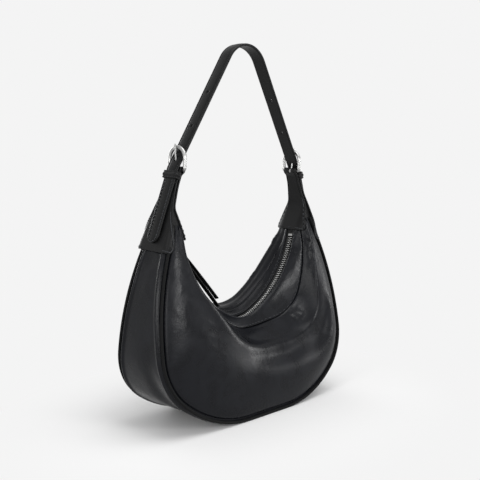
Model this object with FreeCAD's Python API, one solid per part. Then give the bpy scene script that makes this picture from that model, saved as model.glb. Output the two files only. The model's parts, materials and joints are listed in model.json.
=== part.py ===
import FreeCAD, Part
import math
import os

V = FreeCAD.Vector
os.makedirs("parts", exist_ok=True)

# Half moon shoulder bag. Lengths in mm, angles in degrees. X runs along the bag, Y from
# front to back, Z up. The origin is the middle of the flat base.

# leather body
bag_length = 280.0
base_arc_radius = 134.0
base_arc_turn = 40.0
base_corner_radius = 66.8
side_arc_radius = 284.0
side_arc_turn = 22.0
horn_run = 29.0
base_depth = 95.8
seam_lean = 8.0
leather = 1.8
seam_gap = 0.3
piping_radius = 1.6

# soft top: the fold of the front and back panels, and how much of the way from the zip
# to the fold the facings take
front_fold_height = 74.0
front_fold_depth = 37.0
front_fold_mid_depth = 40.0
right_fold_flat = 58.0
right_fold_radius = 43.0
right_fold_turn = 87.0
left_fold_radius = 52.0
left_fold_turn = 47.0
left_fold_rise = 58.0
left_fold_top_radius = 66.0
left_fold_top_turn = 34.0
back_fold_height = 114.0
back_fold_depth = 30.0
back_fold_mid_depth = 33.0
back_fold_radius = 60.0
back_fold_turn = 35.0
back_fold_top_radius = 215.0
back_fold_top_turn = 30.0
fold_end_drop = 0.6
front_facing_share = 0.38
front_facing_end_share = 0.66
back_facing_share = 0.5
facing_flat_share = 0.45
facing_least = 9.5
fold_end_share = 0.62
lining_sink = 4.0
lining_low_share = 0.04
lining_high_share = 0.94
lining_reach_share = 0.96
front_belly = 7.0
back_belly = 11.0
shoulder_puff = 1.5

# zip
zip_height = 101.0
zip_low_radius = 46.0
zip_end_inset = 15.6
zip_end_drop = 20.3
zip_end_angle = 76.5
tooth_pitch = 2.8
tooth_length = 1.3
tooth_reach = 2.4
tooth_height = 2.2
front_tooth_share = 0.75
back_tooth_share = 0.25
row_slit = 1.2
tape_thickness = 0.5
tape_width = 3.2
tape_cover = 1.1
facing_leather = 1.4
facing_start = 5.6
facing_seam = 1.0
stop_length = 2.6
chain_end_angle = 75.0

# slider and pull
slider_angle = 71.5
slider_length = 11.0
slider_width = 9.2
slider_plate = 1.1
slider_clearance = 0.4
slider_flange = 0.9
slider_post = 0.8
slider_post_length = 2.4
bail_radius = 2.3
bail_hole = 1.3
bail_width = 2.0
link_wire = 1.4
link_length = 9.0
link_width = 9.4
pull_lift = 15.5
pull_sway = 14.5
pull_width = 6.0
pull_leather = 1.1
pull_upper = 58.0
pull_lower = 65.0
pull_spread = 3.0

# strap, buckles and tabs
bar_inset = 29.3
bar_rise = 56.0
bar_radius = 1.75
frame_radius = 2.0
frame_width = 24.0
frame_height = 23.5
arch_gap = 2.3
strap_width = 17.4
strap_thickness = 3.0
strap_leg_angle = 60.0
strap_top_radius = 30.0
strap_tail = 80.0
strap_tip_radius = 7.0
strap_hole_radius = 2.0
strap_hole_pitch = 42.0
strap_holes = 2
strap_lean = 3.6
lean_rise = 6.0
prong_radius = 1.2
prong_length = 27.0
prong_play = 0.9
tab_width = 19.0
tab_flare_width = 44.0
tab_flare_rise = 40.0
tab_corner = 8.0
tab_inner_lift = 0.8
tab_gap = 0.9
tab_fold_turn = 32.0
tab_join_radius = 4.0
tab_split_radius = 12.0
tab_foot_lean = 21.5
keeper_drop = 3.2
keeper_height = 8.0
keeper_wall = 1.4
keeper_back = 0.7
keeper_gap = 0.4

# inside
lining = 0.6
lining_gap = 0.5
board_thickness = 1.5
board_margin = 3.0
gusset_lining_share = 0.97

# sampling of the soft shells
spokes = 32
rows = 8
shell_tolerance = 0.12


def export(shape, name):
    shape.exportStep("parts/" + name + ".step")


def trace(start, steps, share, inset=0.0):
    """Point of a path in the XZ plane at a share of its length; steps are (length, 0) or (radius, turn)."""
    lengths = [a if turn == 0 else a * math.radians(turn) for a, turn in steps]
    left = share * sum(lengths)
    x, z = start
    heading = 0.0
    for (a, turn), length in zip(steps, lengths):
        part = min(left, length)
        if turn == 0:
            x += part * math.cos(heading)
            z += part * math.sin(heading)
        else:
            ahead = heading + part / a
            x += a * (math.sin(ahead) - math.sin(heading))
            z += a * (math.cos(heading) - math.cos(ahead))
            heading = ahead
        left -= part
        if left <= 0:
            break
    return x - inset * math.sin(heading), z + inset * math.cos(heading), heading


# outline of the gusset seam, one half
half_length = bag_length / 2
turn_sine = math.sin(math.radians(base_arc_turn))
base_run = half_length - base_arc_radius * turn_sine - base_corner_radius * (1 - turn_sine)
base_flat = 2 * base_run
widest_height = (base_arc_radius * (1 - math.cos(math.radians(base_arc_turn)))
                 + base_corner_radius * math.cos(math.radians(base_arc_turn)))
outline_steps = [(base_run, 0), (base_arc_radius, base_arc_turn), (base_corner_radius, 90 - base_arc_turn),
                 (side_arc_radius, side_arc_turn), (horn_run, 0)]
side_tilt = math.radians(side_arc_turn)
seam_tilt = math.radians(seam_lean)
side_top_x = half_length - side_arc_radius * (1 - math.cos(side_tilt))
side_top_z = (widest_height + side_arc_radius * math.sin(side_tilt)) * math.cos(seam_tilt)
horn_height = side_top_z + horn_run * math.cos(side_tilt) * math.cos(seam_tilt)


def depth_at(z):
    return base_depth / 2 - z * math.tan(seam_tilt)


horn_depth = 2 * depth_at(horn_height)
lean_height = horn_height + lean_rise


def outline(u, inset):
    """Point of the outline, which is drawn in the leaning plane of a seam and seen along Y."""
    x, rise, heading = trace((0.0, 0.0), outline_steps, abs(u), inset)
    return math.copysign(x, u), rise * math.cos(seam_tilt)


# zip path: a low arc in the middle and a wider arc that ends beside each horn
horn_x, horn_z = outline(1.0, 0.0)
zip_end_x = horn_x - zip_end_inset
zip_end_rise = horn_z - zip_end_drop - zip_height
end_sine = math.sin(math.radians(zip_end_angle))
end_cosine = math.cos(math.radians(zip_end_angle))
above_low = zip_end_rise - zip_low_radius
zip_side_radius = ((zip_end_x ** 2 + above_low ** 2 - zip_low_radius ** 2)
                   / (2 * (zip_end_x * end_sine - zip_low_radius - above_low * end_cosine)))
zip_low_turn = math.degrees(math.atan2(zip_side_radius * end_sine - zip_end_x,
                                       above_low + zip_side_radius * end_cosine))
zip_steps = [(zip_low_radius, zip_low_turn), (zip_side_radius, zip_end_angle - zip_low_turn)]
zip_centre_x = (zip_side_radius - zip_low_radius) * math.sin(math.radians(zip_low_turn))
zip_centre_z = (zip_height + zip_low_radius
                + (zip_side_radius - zip_low_radius) * math.cos(math.radians(zip_low_turn)))
zip_half = sum(a * math.radians(turn) for a, turn in zip_steps)


def zip_point(u):
    """Chain middle, its upward normal and its direction towards +X."""
    x, z, heading = trace((0.0, zip_height), zip_steps, abs(u))
    side = math.copysign(1.0, u)
    normal = V(-side * math.sin(heading), 0, math.cos(heading))
    along = V(math.cos(heading), 0, side * math.sin(heading))
    return V(side * x, 0, z), normal, along


zip_end = zip_point(1.0)[0]


def fold_point(u, back):
    """Crest of the soft fold of a panel, ending between the zip and the seam at the horn."""
    share = abs(u)
    if back:
        start = (0.0, back_fold_height)
        steps = [(back_fold_radius, back_fold_turn), (back_fold_top_radius, back_fold_top_turn)]
        mid, middle = back_fold_mid_depth, back_fold_depth
    else:
        start = (0.0, front_fold_height)
        steps = [(right_fold_flat, 0), (right_fold_radius, right_fold_turn),
                 (horn_height - front_fold_height - right_fold_radius, 0)]
        if u < 0:
            steps = [(left_fold_radius, left_fold_turn), (left_fold_rise, 0),
                     (left_fold_top_radius, left_fold_top_turn), (left_fold_rise / 2, 0)]
        mid, middle = front_fold_mid_depth, front_fold_depth
    x, z, heading = trace(start, steps, share)
    end_x, end_z, heading = trace(start, steps, 1.0)
    goal_x = zip_end.x + (horn_x - zip_end.x) * fold_end_share
    goal_z = horn_height - fold_end_drop
    ease = share * share
    x += (goal_x - end_x) * ease
    z += (goal_z - end_z) * ease
    horn_half = horn_depth / 2 - leather
    y = middle + (mid - middle) * math.sin(math.pi * share) + (horn_half - middle) * ease * share
    return V(math.copysign(x, u), y if back else -y, z)


facing_lift = tape_thickness / 2 + tape_cover + facing_leather


def facing_point(u, back):
    """Seam between panel and facing, on the outer face."""
    centre, normal, along = zip_point(u)
    share = front_facing_share + (front_facing_end_share - front_facing_share) * u * u * (3 - 2 * abs(u))
    if back:
        share = back_facing_share
    top = centre + normal * facing_lift
    seam = top + (fold_point(u, back) - top) * share
    if abs(seam.y) < facing_least:
        seam.y = math.copysign(facing_least, seam.y)
    return seam


def panel_column(u, back, sink):
    """Curve up a panel from the gusset seam over the fold to the facing, sunk inwards at the fold."""
    side = 1 if back else -1
    x, z = outline(u, 2 * piping_radius + 2 * seam_gap)
    foot = V(x, side * depth_at(z), z)
    fold = fold_point(u, back) + V(0, -side * sink, -sink)
    seam = facing_point(u, back) - zip_point(u)[1] * sink
    belly = (back_belly if back else front_belly) * (1 - u * u)
    points = [foot]
    for k in (1, 2):
        share = k / 3.0
        point = foot + (fold - foot) * share
        points.append(point + V(0, side * belly * 4 * share * (1 - share), 0))
    points.append(fold)
    points.append((fold + seam) * 0.5 + V(0, 0, shoulder_puff * (1 - u * u)))
    points.append(seam)
    curve = Part.BSplineCurve()
    curve.interpolate(points)
    return curve


def solid_between(outer, inner):
    """Closed solid between two point grids of the same size."""
    faces = []
    for grid in (outer, inner):
        surface = Part.BSplineSurface()
        surface.approximate(Points=grid, DegMin=3, DegMax=5, Continuity=2, Tolerance=shell_tolerance)
        faces.append(surface.toShape())
    sides = [Part.makeRuledSurface(a, b) for a, b in zip(faces[0].Edges, faces[1].Edges)]
    shell = Part.makeShell(faces + sides)
    shell.sewShape()
    solid = Part.makeSolid(shell)
    if solid.Volume < 0:
        solid.reverse()
    return solid


def grid_normals(grid, upward):
    """Unit normals of a point grid, turned to the side that upward points to."""
    normals = []
    last = len(grid) - 1
    for i, line in enumerate(grid):
        end = len(line) - 1
        row = []
        for j in range(len(line)):
            across = grid[min(i + 1, last)][j] - grid[max(i - 1, 0)][j]
            along = line[min(j + 1, end)] - line[max(j - 1, 0)]
            normal = across.cross(along)
            normal.normalize()
            row.append(normal)
        normals.append(row)
    probe = normals[last // 2][0]
    if probe.dot(upward) < 0:
        normals = [[n * -1 for n in row] for row in normals]
    return normals


def shell_from(grid, upward, near, far):
    """Shell between two depths under the outer grid."""
    normals = grid_normals(grid, upward)
    outer = [[p - n * near for p, n in zip(a, b)] for a, b in zip(grid, normals)]
    inner = [[p - n * far for p, n in zip(a, b)] for a, b in zip(grid, normals)]
    return solid_between(outer, inner)


def panel_grid(back, first, last, reach, sink):
    grid = []
    for i in range(spokes + 1):
        u = reach * (2.0 * i / spokes - 1)
        curve = panel_column(u, back, sink)
        span = curve.LastParameter - curve.FirstParameter
        grid.append([curve.value(curve.FirstParameter + span * (first + (last - first) * j / rows))
                     for j in range(rows + 1)])
    return grid


def facing_grid(back):
    """Outer face of a facing: flat beside the chain, then bending down or up to its seam."""
    side = 1 if back else -1
    grid = []
    for i in range(spokes + 1):
        u = 2.0 * i / spokes - 1
        centre, normal, along = zip_point(u)
        start = centre + normal * facing_lift + V(0, side * facing_start, 0)
        seam = facing_point(u, back)
        flat = facing_flat_share * (abs(seam.y) - facing_start)
        bend = start + V(0, side * flat, 0)
        edge = seam + (bend - seam).normalize() * facing_seam
        row = []
        for j in range(rows // 2 + 1):
            t = 2.0 * j / rows
            row.append(start * ((1 - t) ** 2) + bend * (2 * t * (1 - t)) + edge * (t * t))
        grid.append(row)
    return grid


def mirrored(shape):
    return shape.mirror(V(0, 0, 0), V(1, 0, 0))


def leaned(shape):
    shape = shape.copy()
    shape.rotate(V(0, 0, lean_height), V(1, 0, 0), strap_lean)
    return shape


def ribbon(near, far, share, margin):
    """Strip of leather that follows the outline, between two insets, as wide as the seams allow."""
    flat_share = base_run / sum(a if turn == 0 else a * math.radians(turn) for a, turn in outline_steps)
    end_way = V(-math.sin(side_tilt), 0, math.cos(side_tilt) * math.cos(seam_tilt))
    edges = []
    tips = []
    for inset in (near, far):
        points = []
        for i in range(spokes + 1):
            x, z = outline(flat_share + (share - flat_share) * i / spokes, inset)
            points.append(V(x, -base_depth, z))
        curve = Part.BSplineCurve()
        curve.interpolate(Points=points, InitialTangent=V(1, 0, 0), FinalTangent=end_way)
        rise = curve.toShape()
        flat = Part.makeLine(V(-points[0].x, points[0].y, points[0].z), points[0])
        edges += [rise, mirrored(rise), flat]
        tips.append(points[-1])
    end = Part.makeLine(tips[0], tips[1])
    loop = Part.Wire(Part.__sortEdges__(edges + [end, mirrored(end)]))
    strip = Part.Face(loop).extrude(V(0, 2 * base_depth, 0))
    low = -base_depth
    high = horn_height + base_depth
    corners = [V(-bag_length, side * (depth_at(z) - margin), z)
               for side, z in ((-1, low), (1, low), (1, high), (-1, high))]
    wedge = Part.Face(Part.makePolygon(corners + corners[:1])).extrude(V(2 * bag_length, 0, 0))
    return strip.common(wedge).Solids[0]


# leather body
for back in (False, True):
    side = "back" if back else "front"
    face = V(0, 1 if back else -1, 0)
    up = V(0, 0, 1)
    export(shell_from(panel_grid(back, 0.0, 1.0, 1.0, 0.0), face, 0.0, leather), side + "_panel")
    clear = leather + lining_gap
    inside = panel_grid(back, lining_low_share, lining_high_share, lining_reach_share, lining_sink)
    export(shell_from(inside, face, clear, clear + lining), side + "_lining")
    export(shell_from(facing_grid(back), up, 0.0, facing_leather), side + "_zip_facing")
export(ribbon(0.0, leather, 1.0, piping_radius + seam_gap), "gusset")
board_top = leather + seam_gap + board_thickness
export(ribbon(board_top + seam_gap, board_top + seam_gap + lining, gusset_lining_share,
              leather + lining_gap + lining + seam_gap + board_margin), "gusset_lining")
board = Part.makeBox(base_flat, base_depth - 2 * board_margin, board_thickness,
                     V(-base_run, -base_depth / 2 + board_margin, leather + seam_gap))
export(board.makeFillet(board_margin, [e for e in board.Edges if e.BoundBox.ZLength > board_thickness / 2]),
       "base_board")


def frame_at(shape, origin, x_axis, y_axis, z_axis):
    """Copy of a shape moved from the origin axes to the given axes."""
    m = FreeCAD.Matrix(x_axis.x, y_axis.x, z_axis.x, origin.x,
                       x_axis.y, y_axis.y, z_axis.y, origin.y,
                       x_axis.z, y_axis.z, z_axis.z, origin.z,
                       0, 0, 0, 1)
    shape = shape.copy()
    shape.Placement = FreeCAD.Placement(m).multiply(shape.Placement)
    return shape


def on_zip(shape, distance):
    """Copy of a shape built about the origin, set on the chain at a distance from the middle."""
    centre, normal, along = zip_point(distance / zip_half)
    return frame_at(shape, centre, along, V(0, 1, 0), normal)


def heading_step(x, z, heading, steps):
    """Points along a path that starts anywhere; arcs are split finely enough to join by arcs."""
    nodes = [(x, z, heading, None)]
    for a, turn in steps:
        if turn == 0:
            x += a * math.cos(heading)
            z += a * math.sin(heading)
            nodes.append((x, z, heading, None))
        else:
            bend = math.radians(turn)
            sign = math.copysign(1.0, bend)
            cx = x - sign * a * math.sin(heading)
            cz = z + sign * a * math.cos(heading)
            mid = heading + bend / 2
            ahead = heading + bend
            middle = (cx + sign * a * math.sin(mid), cz - sign * a * math.cos(mid), mid, (cx, cz, turn))
            x = cx + sign * a * math.sin(ahead)
            z = cz - sign * a * math.cos(ahead)
            heading = ahead
            nodes.append((x, z, heading, middle))
    return nodes


def band(nodes, thickness, width):
    """Strip of leather of one thickness that follows a path in XZ, centred on Y."""
    def offset(node, amount):
        x, z, heading = node[:3]
        return V(x - amount * math.sin(heading), -width / 2, z + amount * math.cos(heading))
    edges = []
    for amount in (thickness / 2, -thickness / 2):
        side = []
        for a, b in zip(nodes, nodes[1:]):
            if b[3] is None:
                side.append(Part.makeLine(offset(a, amount), offset(b, amount)))
            else:
                side.append(Part.Arc(offset(a, amount), offset(b[3], amount), offset(b, amount)).toShape())
        edges.append(side)
    caps = [Part.makeLine(offset(n, thickness / 2), offset(n, -thickness / 2)) for n in (nodes[0], nodes[-1])]
    loop = Part.Wire(Part.__sortEdges__(edges[0] + edges[1] + caps))
    return Part.Face(loop).extrude(V(0, width, 0))


def tube(nodes, radius):
    """Round cord along a path in XZ."""
    pieces = []
    for a, b in zip(nodes, nodes[1:]):
        start = V(a[0], 0, a[1])
        ahead = V(math.cos(a[2]), 0, math.sin(a[2]))
        ring = Part.Face(Part.Wire([Part.makeCircle(radius, start, ahead)]))
        if b[3] is None:
            pieces.append(ring.extrude(V(b[0], 0, b[1]) - start))
        else:
            cx, cz, turn = b[3][3]
            pieces.append(ring.revolve(V(cx, 0, cz), V(0, -1, 0), turn))
    return pieces[0].fuse(pieces[1:]).removeSplitter()


# piping: a cord in each leaning seam plane
half_steps = [(a - piping_radius if turn else a, turn) for a, turn in outline_steps]
seam_end = trace((0.0, 0.0), outline_steps, 1.0, piping_radius)
seam_steps = [step for step in reversed(half_steps[1:])] + [(base_flat, 0)] + half_steps[1:]
seam_path = heading_step(-seam_end[0], seam_end[1], -seam_end[2], seam_steps)
cord = tube(seam_path, piping_radius)
cord.rotate(V(0, 0, 0), V(1, 0, 0), -seam_lean)
cord.translate(V(0, -base_depth / 2, 0))
export(cord, "front_piping")
export(cord.mirror(V(0, 0, 0), V(0, 1, 0)), "back_piping")

# tapes: flat strips that carry the teeth
zip_turn = zip_end_angle - zip_low_turn
zip_path = heading_step(-zip_end.x, zip_end.z, -math.radians(zip_end_angle),
                        [(zip_side_radius, zip_turn), (zip_low_radius, 2 * zip_low_turn),
                         (zip_side_radius, zip_turn)])
tape_from = row_slit / 2 + tooth_reach + 2 * seam_gap
for side, name in ((-1, "front_zip_tape"), (1, "back_zip_tape")):
    tape = band(zip_path, tape_thickness, tape_width)
    tape.translate(V(0, side * (tape_from + tape_width / 2), 0))
    export(tape, name)

# teeth, the two rows half a pitch apart
chain_half = zip_half - zip_side_radius * math.radians(zip_end_angle - chain_end_angle)
pitches = int(chain_half / tooth_pitch)
for back in (False, True):
    side = 1 if back else -1
    low_y = row_slit / 2 if back else -row_slit / 2 - tooth_reach
    tooth = Part.makeBox(tooth_length, tooth_reach, tooth_height,
                         V(-tooth_length / 2, low_y, -tooth_height / 2))
    teeth = []
    for k in range(-pitches, pitches):
        teeth.append(on_zip(tooth, (k + (back_tooth_share if back else front_tooth_share)) * tooth_pitch))
    export(Part.makeCompound(teeth), ("back" if back else "front") + "_zip_teeth")
stop_at = chain_half + stop_length / 2
stop_wide = row_slit + 2 * tooth_reach
end_stop = Part.makeBox(stop_length, stop_wide, tooth_height,
                        V(-stop_length / 2, -stop_wide / 2, -tooth_height / 2))
export(on_zip(end_stop, stop_at), "zip_end_stop")
top_stop = Part.makeBox(stop_length, tooth_reach, tooth_height,
                        V(-stop_length / 2, row_slit / 2, -tooth_height / 2))
other_stop = top_stop.mirror(V(0, 0, 0), V(0, 1, 0))
export(Part.makeCompound([on_zip(top_stop, -stop_at), on_zip(other_stop, -stop_at)]), "zip_top_stops")


# slider: two plates joined by a post that runs in the slit between the rows, and a bail
def slider_shape():
    level = tooth_height / 2 + slider_clearance
    upper = Part.makeBox(slider_length, slider_width, slider_plate,
                         V(-slider_length / 2, -slider_width / 2, level))
    nose = [e for e in upper.Edges if e.BoundBox.ZLength > slider_plate / 2]
    upper = upper.makeFillet(slider_width / 4, nose)
    lower = upper.mirror(V(0, 0, 0), V(0, 0, 1))
    post = Part.makeBox(slider_post_length, slider_post, 2 * level + slider_plate,
                        V(-slider_length / 2 + slider_plate, -slider_post / 2, -level - slider_plate / 2))
    flanges = []
    rail_low = tape_thickness / 2 + slider_clearance
    for y in (-slider_width / 2, slider_width / 2 - slider_flange):
        rail = Part.makeBox(slider_length / 2, slider_flange, level + slider_plate / 2 - rail_low,
                            V(-slider_length / 4, y, rail_low))
        flanges += [rail, rail.mirror(V(0, 0, 0), V(0, 0, 1))]
    ring_z = level + slider_plate + bail_hole + slider_clearance
    ring = Part.makeCylinder(bail_radius, bail_width, V(0, -bail_width / 2, ring_z), V(0, 1, 0))
    hole = Part.makeCylinder(bail_hole, 2 * bail_width, V(0, -bail_width, ring_z), V(0, 1, 0))
    return upper.fuse([lower, post, ring.cut(hole)] + flanges).removeSplitter(), ring_z


slider, bail_height = slider_shape()
slider_share = -(zip_half - zip_side_radius * math.radians(zip_end_angle - slider_angle)) / zip_half
export(on_zip(slider, slider_share * zip_half), "zip_slider")

# pull: a wire link in the bail and a folded leather strip with two free tails
slider_point, slider_normal, slider_along = zip_point(slider_share)
pivot = slider_point + slider_normal * bail_height
sway = math.radians(pull_sway)
lift = math.radians(pull_lift)
level_dir = slider_along * math.cos(sway) - V(0, 1, 0) * math.sin(sway)
pull_dir = level_dir * math.cos(lift) + slider_normal * math.sin(lift)
pull_axis = slider_normal.cross(level_dir)
pull_up = pull_dir.cross(pull_axis)


def link_shape():
    wire = link_wire / 2
    bars = [Part.makeCylinder(wire, link_width, V(x, -link_width / 2, 0), V(0, 1, 0)) for x in (0, link_length)]
    legs = [Part.makeCylinder(wire, link_length, V(0, y, 0), V(1, 0, 0))
            for y in (-link_width / 2, link_width / 2)]
    balls = [Part.makeSphere(wire, V(x, y, 0)) for x in (0, link_length)
             for y in (-link_width / 2, link_width / 2)]
    return bars[0].fuse(bars[1:] + legs + balls).removeSplitter()


def pull_shape():
    inner = link_wire / 2 + seam_gap
    outer = inner + pull_leather
    fold = Part.makeCylinder(outer, pull_width, V(0, -pull_width / 2, 0), V(0, 1, 0))
    upper = Part.makeBox(pull_upper, pull_width, pull_leather, V(0, -pull_width / 2, inner))
    lower = Part.makeBox(pull_lower, pull_width, pull_leather, V(0, -pull_width / 2, -outer))
    upper.rotate(V(0, 0, 0), V(0, 1, 0), -pull_spread / 2)
    lower.rotate(V(0, 0, 0), V(0, 1, 0), pull_spread / 2)
    hole = Part.makeCylinder(inner, 2 * pull_width, V(0, -pull_width, 0), V(0, 1, 0))
    mouth = Part.makeBox(pull_lower, 2 * pull_width, 2 * inner, V(0, -pull_width, -inner))
    body = fold.cut(mouth).fuse([upper, lower]).cut(hole).removeSplitter()
    body.translate(V(link_length, 0, 0))
    return body.Solids[0]


export(frame_at(link_shape(), pivot, pull_dir, pull_axis, pull_up), "zip_pull_link")
export(frame_at(pull_shape(), pivot, pull_dir, pull_axis, pull_up), "zip_pull")

# tab, buckle and strap of the right side, in the XZ plane about the bar
bar_x = side_top_x - bar_inset
bar_height = horn_height + bar_rise
fold_radius = bar_radius + seam_gap + leather / 2
foot_z = side_top_z
outer_foot_x = side_top_x + tab_gap + leather / 2
reach_x = outer_foot_x - bar_x
reach_z = bar_height - foot_z
reach_length = math.hypot(reach_x, reach_z)
tab_tilt = math.atan2(reach_x, reach_z) - math.asin(fold_radius / reach_length)
tab_run = math.sqrt(reach_length ** 2 - fold_radius ** 2)


# tab: up the outside of the horn, round the bar and down its inner side
up_heading = math.pi / 2 + tab_tilt
converge = 2 * fold_radius - leather - keeper_back - 2 * seam_gap
fold_bend = math.radians(tab_fold_turn)
slant = (converge - (fold_radius + tab_join_radius) * (1 - math.cos(fold_bend))) / math.sin(fold_bend)
inner_turn = math.degrees(tab_tilt) + tab_foot_lean
head_steps = [(tab_run, 0), (fold_radius, 180 + tab_fold_turn), (slant, 0), (tab_join_radius, -tab_fold_turn)]
probe = heading_step(outer_foot_x, foot_z, up_heading, head_steps + [(tab_split_radius, -inner_turn)])[-1]
cover_top = facing_lift + tab_gap + leather / 2
inner_foot_x = zip_end.x - cover_top
inner_foot_z = zip_end.z + tab_inner_lift
down = probe[2]
neck_dir = up_heading + math.pi
gap_x = inner_foot_x - probe[0]
gap_z = inner_foot_z - probe[1]
cross = math.cos(neck_dir) * math.sin(down) - math.sin(neck_dir) * math.cos(down)
neck = (gap_x * math.sin(down) - gap_z * math.cos(down)) / cross
tail_x = gap_x - neck * math.cos(neck_dir)
tail_z = gap_z - neck * math.sin(neck_dir)
inner_run = tail_x * math.cos(down) + tail_z * math.sin(down)
tab_path = heading_step(outer_foot_x, foot_z, up_heading,
                        head_steps + [(neck, 0), (tab_split_radius, -inner_turn), (inner_run, 0)])


def tab_outline(low):
    """Face of the tab seen from the side of the bag, in YZ: a neck that flares to a wide foot."""
    neck_half = tab_width / 2
    foot_half = tab_flare_width / 2
    shoulder = foot_z + tab_flare_rise / 2
    top = bar_height + 2 * fold_radius
    flare_top = shoulder + tab_flare_rise
    half = [V(0, foot_half - tab_corner, low), V(0, foot_half, low + tab_corner), V(0, foot_half, shoulder),
            V(0, neck_half, flare_top), V(0, neck_half, top)]
    bend = (foot_half - neck_half) / 2
    curve = Part.BSplineCurve()
    curve.interpolate([half[2], V(0, neck_half + bend, (shoulder + flare_top) / 2), half[3]],
                      InitialTangent=V(0, 0, 1), FinalTangent=V(0, 0, 1))
    corner = tab_corner * (1 - math.sqrt(0.5))
    arc = Part.Arc(half[0], V(0, foot_half - corner, low + corner), half[1])
    right = [arc.toShape(), Part.makeLine(half[1], half[2]), curve.toShape(), Part.makeLine(half[3], half[4])]
    left = [e.mirror(V(0, 0, 0), V(0, 1, 0)) for e in right]
    flip = [V(p.x, -p.y, p.z) for p in half]
    edges = right + left + [Part.makeLine(half[4], flip[4]), Part.makeLine(half[0], flip[0])]
    return Part.Face(Part.Wire(Part.__sortEdges__(edges)))


middle_x = (inner_foot_x + outer_foot_x) / 2
outer_face = tab_outline(foot_z - leather)
outer_face.translate(V(middle_x, 0, 0))
tab_form = tab_outline(inner_foot_z).extrude(V(middle_x, 0, 0)).fuse(outer_face.extrude(V(half_length, 0, 0)))
slot_half = prong_radius + 2 * seam_gap
slot = Part.makeBox(4 * fold_radius, 2 * slot_half, 4 * fold_radius,
                    V(bar_x - 2 * fold_radius, -slot_half, bar_height - fold_radius))
tab = band(tab_path, leather, tab_flare_width).common(tab_form).cut(slot).removeSplitter().Solids[0]

# strap: tail outside the tab, round the bar at its own distance, leg, and the bend at the top
strap_radius = fold_radius + leather / 2 + keeper_gap + strap_thickness / 2
leg = math.radians(strap_leg_angle)
leg_heading = math.pi - leg
bend_turn = math.degrees(leg_heading - up_heading)
tail_start_x = bar_x + strap_radius * math.cos(tab_tilt) + strap_tail * math.sin(tab_tilt)
tail_start_z = bar_height + strap_radius * math.sin(tab_tilt) - strap_tail * math.cos(tab_tilt)
leave_x = bar_x + strap_radius * math.sin(leg)
leave_z = bar_height + strap_radius * math.cos(leg)
peak_z = leave_z + leave_x * math.tan(leg)
top_centre_z = peak_z - strap_top_radius / math.cos(leg)
touch_x = strap_top_radius * math.sin(leg)
leg_length = (leave_x - touch_x) / math.cos(leg)
strap_path = heading_step(tail_start_x, tail_start_z, up_heading,
                          [(strap_tail, 0), (strap_radius, bend_turn), (leg_length, 0),
                           (strap_top_radius, 2 * strap_leg_angle), (leg_length, 0),
                           (strap_radius, bend_turn), (strap_tail, 0)])
strap = band(strap_path, strap_thickness, strap_width)
tips = []
for edge in strap.Edges:
    middle = edge.BoundBox.Center
    if abs(edge.Length - strap_thickness) < seam_gap and middle.z < tail_start_z + strap_thickness:
        tips.append(edge)
strap = strap.makeFillet(strap_tip_radius, tips)

# buckle: the arch lies against the outer face of the strap, the prong crosses the strap
arch_off = frame_radius + arch_gap + strap_thickness / 2
frame_lean = math.pi / 2 - leg - math.asin((strap_radius + arch_off) / frame_height)
prong_off = frame_radius + prong_radius + seam_gap
prong_lean = frame_lean - math.asin(prong_off / frame_height)
hole_rise = strap_radius / math.sin(math.pi / 2 - leg - prong_lean)


def lean_axes(angle):
    return V(math.cos(angle), 0, math.sin(angle)), V(0, 1, 0), V(-math.sin(angle), 0, math.cos(angle))


def buckle_frame():
    half = frame_width / 2
    shank = frame_height - half
    ring = Part.Face(Part.Wire([Part.makeCircle(frame_radius, V(0, half, shank), V(0, 0, 1))]))
    arch = ring.revolve(V(0, 0, shank), V(1, 0, 0), 180)
    legs = [Part.makeCylinder(frame_radius, shank, V(0, y, 0), V(0, 0, 1)) for y in (-half, half)]
    bar = Part.makeCylinder(bar_radius, frame_width, V(0, -half, 0), V(0, 1, 0))
    balls = [Part.makeSphere(frame_radius, V(0, y, 0)) for y in (-half, half)]
    return arch.fuse([bar] + legs + balls).removeSplitter()


def buckle_prong():
    inner = bar_radius + seam_gap / 2
    outer = bar_radius + prong_radius
    eye = Part.makeCylinder(outer, 2 * prong_radius, V(0, -prong_radius, 0), V(0, 1, 0))
    hole = Part.makeCylinder(inner, 4 * prong_radius, V(0, -2 * prong_radius, 0), V(0, 1, 0))
    start = (inner + outer) / 2
    shank = Part.makeCylinder(prong_radius - seam_gap / 4, prong_length - start, V(0, 0, start), V(0, 0, 1))
    tip = [e for e in shank.Edges if abs(e.BoundBox.Center.z - prong_length) < seam_gap]
    shank = shank.makeFillet(prong_radius / 2, tip)
    return eye.cut(hole).fuse(shank)


bar_point = V(bar_x, 0, bar_height)
frame = frame_at(buckle_frame(), bar_point, *lean_axes(frame_lean))
prong = frame_at(buckle_prong(), bar_point, *lean_axes(prong_lean))
prong_way = Part.makeCylinder(prong_radius + prong_play, 2 * hole_rise, V(0, 0, 0), V(0, 0, 1))
prong_way = frame_at(prong_way, bar_point, *lean_axes(prong_lean))
leg_dir = V(-math.cos(leg), 0, math.sin(leg))
leg_normal = V(math.sin(leg), 0, math.cos(leg))
hole_at = bar_point + V(-math.sin(prong_lean), 0, math.cos(prong_lean)) * hole_rise
cutters = [prong_way]
for k in range(strap_holes):
    start = hole_at + leg_dir * (strap_hole_pitch * (k + 1)) - leg_normal * strap_thickness
    cutters.append(Part.makeCylinder(strap_hole_radius, 2 * strap_thickness, start, leg_normal))
strap = strap.cut(cutters + [mirrored(c) for c in cutters]).Solids[0]

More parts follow.
